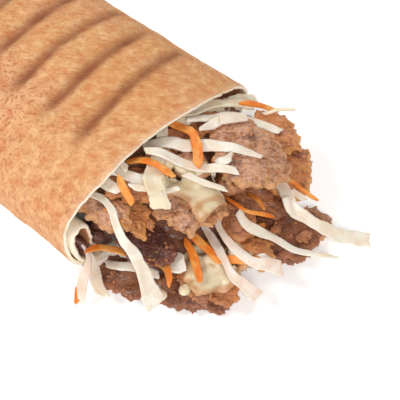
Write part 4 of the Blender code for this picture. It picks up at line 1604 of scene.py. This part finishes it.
@dataclass
class TornMeat:
    """Thin torn sheets of shaved meat that lie over the slices, joined as one piece."""

    name: str
    sheets: Sequence[Tear]
    seed: int = 0
    step: float = 0.4 * MM
    thickness: float = 0.8 * MM
    proud: float = 0.35 * MM
    ledge: float = 1.4 * MM
    sink: float = 0.9 * MM
    least_bit: int = 60

    @staticmethod
    def scatter(heap: Heap, owners: Sequence[str], count: int, seed: int) -> List[Tear]:
        """Find places for sheets at random.

        Args:
            heap: what they lie on.
            owners: the pieces that may carry them.
            count: how many sheets to place.
            seed: picks other places.

        Returns:
            The sheets.
        """
        chance = np.random.default_rng(seed)
        sheets: List[Tear] = []
        for _ in range(count * 60):
            out, across = chance.uniform(-1, 46), chance.uniform(-33, 38)
            length, width, turn = chance.uniform(6, 12), chance.uniform(3.5, 7), chance.uniform(0, 180)
            around = [(out + 2.5 * math.cos(a), across + 2.5 * math.sin(a)) for a in range(6)]
            lands = [heap.land(near[0] * MM, near[1] * MM) for near in around]
            level = max(land[0] for land in lands) - min(land[0] for land in lands) < 2.5 * MM
            if level and all(land[2] in owners for land in lands) and len(sheets) < count:
                sheets.append(Tear(out, across, length, width, turn))
        return sheets

    def build(self, material: bpy.types.Material, heap: Heap, above: Heap) -> bpy.types.Object:
        """Model the sheets.

        Args:
            material: their material.
            heap: what they lie on.
            above: what lies on them.

        Returns:
            The finished piece.
        """
        parts = [self.sheet(tear, number + self.seed, heap, above) for number, tear in enumerate(self.sheets)]
        piece = join(parts, self.name)
        dress(piece, material, "meat")
        return piece

    def sheet(self, tear: Tear, seed: int, heap: Heap, above: Heap) -> bpy.types.Object:
        """Drape one sheet over the heap, cut to a torn outline.

        Args:
            tear: where it lies.
            seed: picks its outline.
            heap: what it lies on.
            above: what lies on it.

        Returns:
            The sheet's mesh.
        """
        reach = 0.7 * max(tear.length, tear.width) * MM
        count = int(2 * reach / self.step)
        square = (count, count)
        line = np.linspace(-reach, reach, count)
        along, aside = (grid.ravel() for grid in np.meshgrid(line, line, indexing="ij"))
        turn = math.radians(tear.turn)
        x = tear.out * MM + along * math.cos(turn) - aside * math.sin(turn)
        y = tear.across * MM + along * math.sin(turn) + aside * math.cos(turn)
        flat = np.stack([x, y, 0 * x], axis=1)
        ground = heap.heights(x, y)
        inside = np.hypot(2 * along / (tear.length * MM), 2 * aside / (tear.width * MM))
        plane = self.lean(np.stack([along, aside, np.ones(len(x))], axis=1), ground, inside < 0.55)
        held = grow(grow((ground > plane - self.ledge).reshape(square)))
        amount = np.where(held.ravel(), 1 - inside + 0.55 * lumps(flat, 5 * MM, seed, 3), -1)
        if tear.holes:
            amount = np.minimum(amount, lumps(flat, 2.4 * MM, seed + 50, 2) - 1 + 2 * (1 - tear.holes))
        surface = soften(np.clip(ground, plane - self.ledge, plane + 1 * MM).reshape(square), 3).ravel()
        rise = self.proud * smooth_step(amount, -0.05, 0.12) + 0.2 * MM * lumps(flat, 3 * MM, seed + 9, 2)
        grids = (values.reshape(square) for values in (x, y, ground))
        rise -= self.sink * above.covered_share(*grids).ravel()
        piece = add_grid(f"{self.name}_{seed}", count, count)
        set_places(piece, np.stack([x + MOUTH_X, y, np.maximum(surface + rise, 0.9 * MM)], axis=1))
        carry(piece, "relief", lumps(flat, 3 * MM, seed + 2, 2) + 0.4 * pebbles(flat, 1.1 * MM, seed))
        carry(piece, "rim", 1 - smooth_step(amount, 0.02, 0.22))
        trim(piece, amount < 0)
        drop_bits(piece, self.least_bit)
        modify(piece, "SOLIDIFY", thickness=self.thickness, offset=-1.0)
        modify(piece, "SMOOTH", factor=0.5, iterations=2)
        places = places_of(piece)
        places[:, 2] += 0.12 * MM * lumps(places, 1.1 * MM, seed + 4, 2)
        set_places(piece, places)
        return piece

    @staticmethod
    def lean(near: np.ndarray, ground: np.ndarray, middle: np.ndarray) -> np.ndarray:
        """Fit a plane to the ground under the sheet's middle.

        Args:
            near: each place's two coordinates and 1.
            ground: heights there.
            middle: which places are in the sheet's middle.

        Returns:
            The plane's height at each place.
        """
        level = np.median(ground[middle])
        middle = middle & (np.abs(ground - level) < 2 * MM)
        return near @ np.linalg.lstsq(near[middle], ground[middle], rcond=None)[0]


@dataclass(frozen=True)
class Route:
    """A strip's places (out, across, height) and widths in millimetres, and the way its face looks."""

    places: Tuple[Tuple[float, float, float], ...]
    widths: Tuple[float, ...]
    facing: Tuple[float, float, float] = (0.35, -0.35, 0.87)


@dataclass
class LooseStrips:
    """Strips that lie along given routes, joined as one piece."""

    name: str
    slot: str
    routes: Tuple[Route, ...]
    thickness: float = 0.7 * MM

    def build(self, material: bpy.types.Material) -> bpy.types.Object:
        """Model the strips.

        Args:
            material: their material.

        Returns:
            The finished piece.
        """
        parts = []
        for number, route in enumerate(self.routes):
            middles = np.array(route.places) * MM + (MOUTH_X, 0, 0)
            share = np.linspace(0, 1, len(middles))
            widths = np.interp(share, np.linspace(0, 1, len(route.widths)), route.widths) * MM
            forward = np.gradient(middles, axis=0)
            side = unit(np.cross(route.facing, forward))
            strip = Shred(f"{self.name}_{number}", self.slot, thickness=self.thickness)
            parts.append(strip.model(middles, side * widths[:, None] / 2, np.cross(forward, side)))
        piece = join(parts, self.name)
        dress(piece, material, self.slot)
        return piece


@dataclass(frozen=True)
class Bit:
    """A bit of shred: its two ends (out, across), its width and its far end's lift, in millimetres."""

    out: float
    across: float
    far_out: float
    far_across: float
    width: float
    lift: float


@dataclass
class Bits:
    """Short bits of shred, each laid between two places and joined as one piece."""

    name: str
    slot: str
    bits: Tuple[Bit, ...]
    thickness: float = 0.6 * MM
    stations: int = 7
    proud: float = 0.4 * MM
    bow: float = 0.5 * MM

    def build(self, material: bpy.types.Material, heap: Heap) -> bpy.types.Object:
        """Lay the bits on the heap.

        Args:
            material: their material.
            heap: what they lie on.

        Returns:
            The finished piece.
        """
        parts = []
        share = np.linspace(0, 1, self.stations)
        for number, bit in enumerate(self.bits):
            outs = (bit.out + (bit.far_out - bit.out) * share) * MM
            acrosses = (bit.across + (bit.far_across - bit.across) * share) * MM
            heights = heap.heights(outs, acrosses)
            level = np.polyval(np.polyfit(share, heights, 1), share)
            heights = np.maximum(level, heights - self.proud) + self.proud
            middles = np.stack([MOUTH_X + outs, acrosses, heights + bit.lift * MM * share], axis=1)
            forward = unit(middles[-1] - middles[0])
            side = unit(np.cross((0, 0, 1), forward))
            up = np.cross(forward, side)
            bowed = middles + np.sin(share * math.pi)[:, None] * up * self.bow
            strip = Shred(f"{self.name}_{number}", self.slot, thickness=self.thickness)
            rows = (self.stations, 1)
            parts.append(strip.model(bowed, np.tile(side * bit.width / 2 * MM, rows), np.tile(up, rows)))
        piece = join(parts, self.name)
        dress(piece, material, self.slot)
        return piece


@dataclass
class Scraps:
    """Many small pieces of one kind, lying loose on the filling.

    Outs and acrosses are the stretches, in millimetres, that they may lie in, and on holds the
    first words of the names of the pieces that may carry them.
    """

    name: str
    slot: str
    count: int
    lengths: Tuple[float, float]
    seed: int
    narrow: float = 0.7
    flat: float = 0.6
    detail: int = 2
    rough: float = 0.28
    outs: Tuple[float, float] = (-2, 40)
    acrosses: Tuple[float, float] = (-32, 36)
    on: Tuple[str, ...] = ("browned", "packed", "shaved")

    def build(self, material: bpy.types.Material, heap: Heap) -> bpy.types.Object:
        """Model the pieces as one joined mesh.

        Args:
            material: their material.
            heap: what they lie on.

        Returns:
            The finished piece.
        """
        chance = np.random.default_rng(self.seed)
        model = add_ball(self.detail)
        ball = places_of(model)
        shapes: List[np.ndarray] = []
        relief: List[np.ndarray] = []
        tries = 0
        while len(shapes) < self.count and tries < self.count * 20:
            tries += 1
            out, across = chance.uniform(*self.outs) * MM, chance.uniform(*self.acrosses) * MM
            size = chance.uniform(*self.lengths) / 2
            turn, tilt = chance.uniform(0, 2 * math.pi), chance.normal(0, 0.25, 2)
            height, normal, _ = heap.land(out, across)
            around = [heap.land(out + size * math.cos(a), across + size * math.sin(a)) for a in range(6)]
            clear = all(abs(near[0] - height) < size + 1 * MM for near in around)
            if clear and normal.z >= 0.35 and all(near[2].startswith(self.on) for near in around):
                bumps = self.rough * lumps(ball * size, size * 0.9, len(shapes), 3)
                aim = Vector((normal.x + tilt[0], normal.y + tilt[1], normal.z + 0.3)).normalized()
                shape = self.shape(ball, bumps, size, turn, aim) + (MOUTH_X + out, across, height)
                shape[:, 2] = np.maximum(shape[:, 2], 0.05 * MM)
                shapes.append(shape)
                relief.append(3 * bumps)
        piece = join_copies(model, self.name, shapes)
        carry(piece, "relief", np.concatenate(relief))
        carry(piece, "rim", np.tile(smooth_step(np.hypot(ball[:, 0], ball[:, 1]), 0.55, 1.0), len(shapes)))
        dress(piece, material, self.slot)
        return piece

    def shape(self, ball: np.ndarray, bumps: np.ndarray, size: float, turn: float, aim: Vector) -> np.ndarray:
        """Shape one piece about its middle.

        Args:
            ball: the model's vertex places.
            bumps: how far each of them stands out, as a share.
            size: half the piece's length.
            turn: its turn about its own upright, in radians.
            aim: the way its upper side looks.

        Returns:
            Its vertex places.
        """
        shape = ball * (size, size * self.narrow, size * self.flat) * (1 + bumps)[:, None]
        shape[:, 2] += 0.25 * shape[:, 0] ** 2 / size * math.sin(7 * turn)
        pose = aim.to_track_quat("Z", "Y").to_matrix() @ Matrix.Rotation(turn, 3, "Z")
        return shape @ np.array(pose).T


# ---------------------------------------------------------------- the studio


@dataclass(frozen=True)
class Lamp:
    """A soft square light: its place and size in metres and its power in watts."""

    name: str
    place: Tuple[float, float, float]
    size: float
    power: float


@dataclass
class Studio:
    """A pale floor, soft light and the camera."""

    target: Vector = field(default_factory=lambda: Vector((MOUTH_X + 15.7 * MM, -0.3 * MM, 18 * MM)))
    azimuth: float = 41.085
    elevation: float = 55.766
    distance: float = 0.20
    lens: float = 62.3
    floor_size: float = 6.0
    floor_glow: float = 0.3
    sky: float = 0.3
    sky_colour: Colour = (1.0, 0.95, 0.88, 1.0)
    lamps: Tuple[Lamp, ...] = (
        Lamp("key", (-0.26, -0.44, 0.72), 0.22, 3.2),
        Lamp("back", (-0.30, 0.55, 0.55), 0.35, 1.4),
        Lamp("front", (0.58, -0.34, 0.62), 0.28, 3.8),
    )

    @staticmethod
    def aim(thing: bpy.types.Object, place: Vector, at: Vector) -> None:
        """Put a light or camera at a place, looking at another.

        Args:
            thing: the light or camera.
            place: where it is put.
            at: where it looks.
        """
        thing.location = place
        thing.rotation_euler = (at - place).to_track_quat("-Z", "Y").to_euler()

    def add_camera(self) -> None:
        """Add the camera and make it the scene's own."""
        azimuth, elevation = math.radians(self.azimuth), math.radians(self.elevation)
        back = Vector((math.sin(azimuth) * math.cos(elevation), -math.cos(azimuth) * math.cos(elevation),
                       math.sin(elevation)))
        bpy.ops.object.camera_add()
        camera = bpy.context.object
        camera.name = "camera"
        camera.data.lens = self.lens
        camera.data.sensor_width = 36
        camera.data.clip_start = 0.01
        self.aim(camera, self.target + back * self.distance, self.target)
        bpy.context.scene.camera = camera

    def add_light(self, lamp: Lamp) -> None:
        """Add a light that looks at the wrap."""
        bpy.ops.object.light_add(type="AREA")
        light = bpy.context.object
        light.name = lamp.name
        light.data.size = lamp.size
        light.data.energy = lamp.power
        self.aim(light, Vector(lamp.place), Vector((MOUTH_X / 2, 0, 0)))

    def add_floor(self) -> None:
        """Add the floor."""
        bpy.ops.object.select_all(action="DESELECT")
        bpy.ops.mesh.primitive_plane_add(size=self.floor_size)
        floor = bpy.context.object
        floor.name = "pale_floor"
        floor.data.materials.append(FloorFinish(glow=self.floor_glow).make())

    def add_sky(self) -> None:
        """Add the soft light from all round."""
        world = bpy.data.worlds.new("studio")
        world.use_nodes = True
        background = world.node_tree.nodes["Background"]
        background.inputs["Color"].default_value = self.sky_colour
        background.inputs["Strength"].default_value = self.sky
        bpy.context.scene.world = world
        bpy.context.scene.view_settings.view_transform = "Standard"

    def build(self) -> None:
        """Build the floor, the light and the camera."""
        self.add_floor()
        self.add_sky()
        for lamp in self.lamps:
            self.add_light(lamp)
        self.add_camera()


# ---------------------------------------------------------------- the wrap


# How each slice is browned, and how gritty it is.
MEAT_LOOKS = {
    "meat_base_front": (Meat.UMBER, 0.7),
    "meat_base_near": (Meat.UMBER, 0.3),
    "meat_base_far": (Meat.UMBER, 0.8),
    "meat_bowl": (Meat.BROWN, 0.9),
    # This slice lies in deep shade under the overhang; its dark finish is partly painted shade.
    "meat_dark": (Meat.DARK, 1.0),
    "meat_far_tip": (Meat.ROSY, 1.0),
    "meat_brown": (Meat.UMBER, 0.8),
    "meat_corner": (Meat.GOLDEN, 0.8),
    "meat_red": (Meat.BROWN, 0.8),
    "meat_right": (Meat.GOLDEN, 0.6),
    "meat_behind": (Meat.GOLDEN, 0.6),
    "meat_crumb": (Meat.GOLDEN, 1.0),
    "meat_under_cheese": (Meat.ROSY, 0.9),
    "meat_near": (Meat.ROSY, 0.7),
    "meat_left": (Meat.BROWN, 0.8),
    "meat_lip": (Meat.BROWN, 0.8),
    "meat_large": (Meat.ROSY, 0.9),
}

# How far a slice is drawn in, in millimetres, and the side it is drawn in from, in degrees from +X.
SLICE_PULLS = {
    "meat_base_front": (2.0, -49.0),
    "meat_base_near": (3.0, -49.0),
    "meat_large": (3.0, -49.0),
    "meat_right": (3.2, 41.0),
}

INNER_CHUNKS = (
    # Dark meat packed into the hollows beside the curl: partly filling, partly painted shade that darkens
    # those hollows.
    (Chunks("deep_meat", "filling", (
        Chunk(-3.5, -24.0, 8.0, 4.0, 3.5, 6.0),
        Chunk(-3.0, -20.0, 11.0, 4.5, 4.0, 7.0),
        Chunk(-2.0, -26.5, 9.5, 3.0, 1.8, 5.0),
        Chunk(-2.6, -32.0, 10.0, 3.0, 1.7, 8.0),
    )), Meat.DARK),
    (Chunks("middle_meat", "meat", (
        Chunk(10.5, 1.8, 27.6, 6.0, 5.0, 1.6),
        Chunk(3.5, -2.5, 29.4, 5.0, 4.0, 1.6),
    ), 0.45 * MM), Meat.ROSY),
    (Chunks("inner_meat", "meat", (
        Chunk(23.5, 13.0, 10.5, 5.5, 5.0, 3.0),
        Chunk(28.5, 17.5, 9.0, 6.0, 5.5, 3.0),
        Chunk(19.8, 8.4, 21.5, 4.5, 5.0, 3.2),
    ), 0.5 * MM), Meat.BROWN),
)

# The slices that carry torn sheets, how many sheets of each kind, and the holed, crisp ones.
SHAVED = ("meat_near", "meat_left", "meat_crumb", "meat_under_cheese", "meat_brown", "meat_bowl", "meat_lip",
          "meat_far_tip")
SHEETS = ((Meat.ROSY, 9), (Meat.BROWN, 9), (Meat.GOLDEN, 4))
CRISP_SHEETS = (
    Tear(8.5, -22.0, 14, 6, 30, holes=0.5),
    Tear(11.5, -18.5, 7, 5, 20, holes=0.45),
)

CABBAGE_LOOKS = {
    # Lies in the shade of the lip; its cream tint is partly painted warm shade.
    "cabbage_far_broad": Cabbage.CREAM,
    "cabbage_down": Cabbage.CREAM,
    "cabbage_front_left": Cabbage.PINK,
    "cabbage_front_middle": Cabbage.PINK,
    "cabbage_curl_hanging": Cabbage.PINK,
}

# How wide a shred is against its solid.
SHRED_WIDTHS = {
    "cabbage_down": 1.3,
    "cabbage_edge": 0.85,
    "cabbage_front_right": 0.7,
    "cabbage_longest": 1.1,
    "carrot_pair_left": 0.55,
    "carrot_pair_right": 0.55,
    "carrot_far": 0.6,
    "carrot_light": 0.8,
    "carrot_lip_near": 0.8,
}

# How much a shred widens towards its outer end.
SHRED_FLARES = {
    "cabbage_long": 0.3,
    "cabbage_longest": 0.2,
    "cabbage_front_left": 0.3,
    "cabbage_front_middle": 0.3,
}

LOOSE_STRIPS = (
    LooseStrips("cabbage_strips", "cabbage", (
        Route(((-1, 8, 30.5), (-0.5, 14, 29.8), (0, 20, 28), (0.8, 26, 25.5), (1.6, 32, 22.5), (2.6, 37, 20),
               (3.6, 41, 17.5)), (3.6, 4.6, 4.4)),
        Route(((9, 33, 20), (12, 36.5, 22), (14.4, 38.4, 23.2), (17.9, 42.1, 22.6)), (1.2, 1.0, 0.7)),
    )),
    LooseStrips("cream_strips", "cabbage", (
        Route(((6.0, -7.0, 33.0), (8.5, -10.0, 32.6), (10.6, -12.3, 31.4), (12.6, -13.5, 29.6),
               (14.4, -14.2, 27.8)), (3.4, 4.2, 5.2, 6.0, 5.6), (0.35, -0.5, 0.8)),
    )),
)

CABBAGE_BITS = Bits("cabbage_bits", "cabbage", (
    Bit(15.2, 4.6, 19.0, 9.0, 3.0, 0.3),
    Bit(38.5, -1.5, 40.5, 0.5, 1.3, 0.6),
))
CARROT_BITS = Bits("carrot_bits", "carrot", (Bit(30.4, 7.6, 32.0, 10.4, 1.5, 0.2),), 0.9 * MM)

# Places (out, across and radius, in millimetres) that melted cheese leaves bare.
CHEESE_BARE = {
    "cheese_upper": ((16.5, -13.5, 6.0),),
}
CHEESE_DROPS = Chunks("cheese_drops", "cheese", (
    Chunk(24.1, -26.2, 8.0, 1.9, 1.6, 1.4),
    Chunk(28.3, -21.6, 9.0, 1.8, 1.7, 1.5),
), 0.45 * MM)

CRUMBS = (
    (Scraps("browned_crumbs", "meat", 130, (0.5 * MM, 1.4 * MM), 5), Meat.BROWN),
    (Scraps("golden_crumbs", "meat", 80, (0.4 * MM, 1.1 * MM), 6), Meat.GOLDEN),
)


@dataclass
class GyroWrap:
    """The whole wrap: its finished pieces, and the strips, which are laid before the cheese runs."""

    pieces: List[bpy.types.Object] = field(default_factory=list)
    strips: List[bpy.types.Object] = field(default_factory=list)
    meats: Dict[Meat, bpy.types.Material] = field(default_factory=dict)
    cabbages: Dict[Cabbage, bpy.types.Material] = field(default_factory=dict)

    @staticmethod
    def nodes(kind: str) -> List[str]:
        """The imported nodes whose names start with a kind, in order."""
        return [node for node in sorted(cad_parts) if node.startswith(kind)]

    def add_meat(self) -> None:
        """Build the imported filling, the slices and the chunks between them."""
        self.pieces.append(PackedFilling().build(self.meats[Meat.UMBER]))
        for node in self.nodes("meat"):
            look, grit = MEAT_LOOKS[node]
            self.pieces.append(MeatSlice(node, grit, *SLICE_PULLS.get(node, ())).build(self.meats[look]))
        for chunks, look in INNER_CHUNKS:
            self.pieces.append(chunks.build(self.meats[look]))

    def add_strips(self, carrot: bpy.types.Material) -> None:
        """Build the cabbage strips and the cabbage and carrot shreds."""
        for loose in LOOSE_STRIPS:
            # All loose strips take the cream tint; on the strip under the lip it is partly painted warm
            # shade.
            self.strips.append(loose.build(self.cabbages[Cabbage.CREAM]))
        for node in self.nodes("cabbage"):
            shred = Shred(node, "cabbage", SHRED_WIDTHS.get(node, 1.0), flare=SHRED_FLARES.get(node, 0.0))
            self.strips.append(shred.build(self.cabbages[CABBAGE_LOOKS.get(node, Cabbage.WHITE)]))
        for node in self.nodes("carrot"):
            shred = Shred(node, "carrot", SHRED_WIDTHS.get(node, 1.0), ruffle=0.08 * MM, wave=0.15 * MM,
                          taper=0.4, taper_share=0.12)
            self.strips.append(shred.build(carrot))

    def add_shaved_meat(self) -> None:
        """Drape the torn sheets over the slices, under the strips."""
        heap, above = Heap(self.pieces), Heap(self.strips)
        for number, (look, count) in enumerate(SHEETS):
            owners = ["browned_" + node for node in SHAVED
                      if MEAT_LOOKS[node][0] is look or look is Meat.BROWN]
            sheets = TornMeat.scatter(heap, owners, count, 20 + number)
            if look is Meat.GOLDEN:
                sheets.extend(CRISP_SHEETS)
            shaved = TornMeat("shaved_" + look.name.lower(), sheets, 30 * number)
            self.pieces.append(shaved.build(self.meats[look], heap, above))

    def add_cheese_and_bits(self, cheese: bpy.types.Material, carrot: bpy.types.Material) -> None:
        """Run the cheese over the meat and lay the short bits of shred."""
        heap, above = Heap(self.pieces), Heap(self.strips)
        for node in self.nodes("cheese"):
            self.pieces.append(MeltedCheese(node, CHEESE_BARE.get(node, ())).build(cheese, heap, above))
        self.pieces.append(CHEESE_DROPS.build(cheese))
        self.pieces.append(CABBAGE_BITS.build(self.cabbages[Cabbage.WHITE], heap))
        self.pieces.append(CARROT_BITS.build(carrot, heap))

    def build(self) -> None:
        """Build every piece, from the bread to the smallest crumb."""
        self.pieces.append(Flatbread().build(BreadFinish().make()))
        self.meats = {look: look.value.make() for look in Meat}
        self.cabbages = {look: look.value.make() for look in Cabbage}
        carrot, cheese = CarrotFinish().make(), CheeseFinish().make()
        self.add_meat()
        self.add_strips(carrot)
        self.add_shaved_meat()
        self.add_cheese_and_bits(cheese, carrot)
        self.pieces.extend(self.strips)
        heap = Heap(self.pieces)
        for crumbs, look in CRUMBS:
            self.pieces.append(crumbs.build(self.meats[look], heap))


def main() -> None:
    """Build the wrap and the studio."""
    logging.basicConfig(level=logging.INFO, format="%(name)s: %(message)s")
    GyroWrap().build()
    Studio().build()
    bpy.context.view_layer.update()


if __name__ == "__main__":
    main()
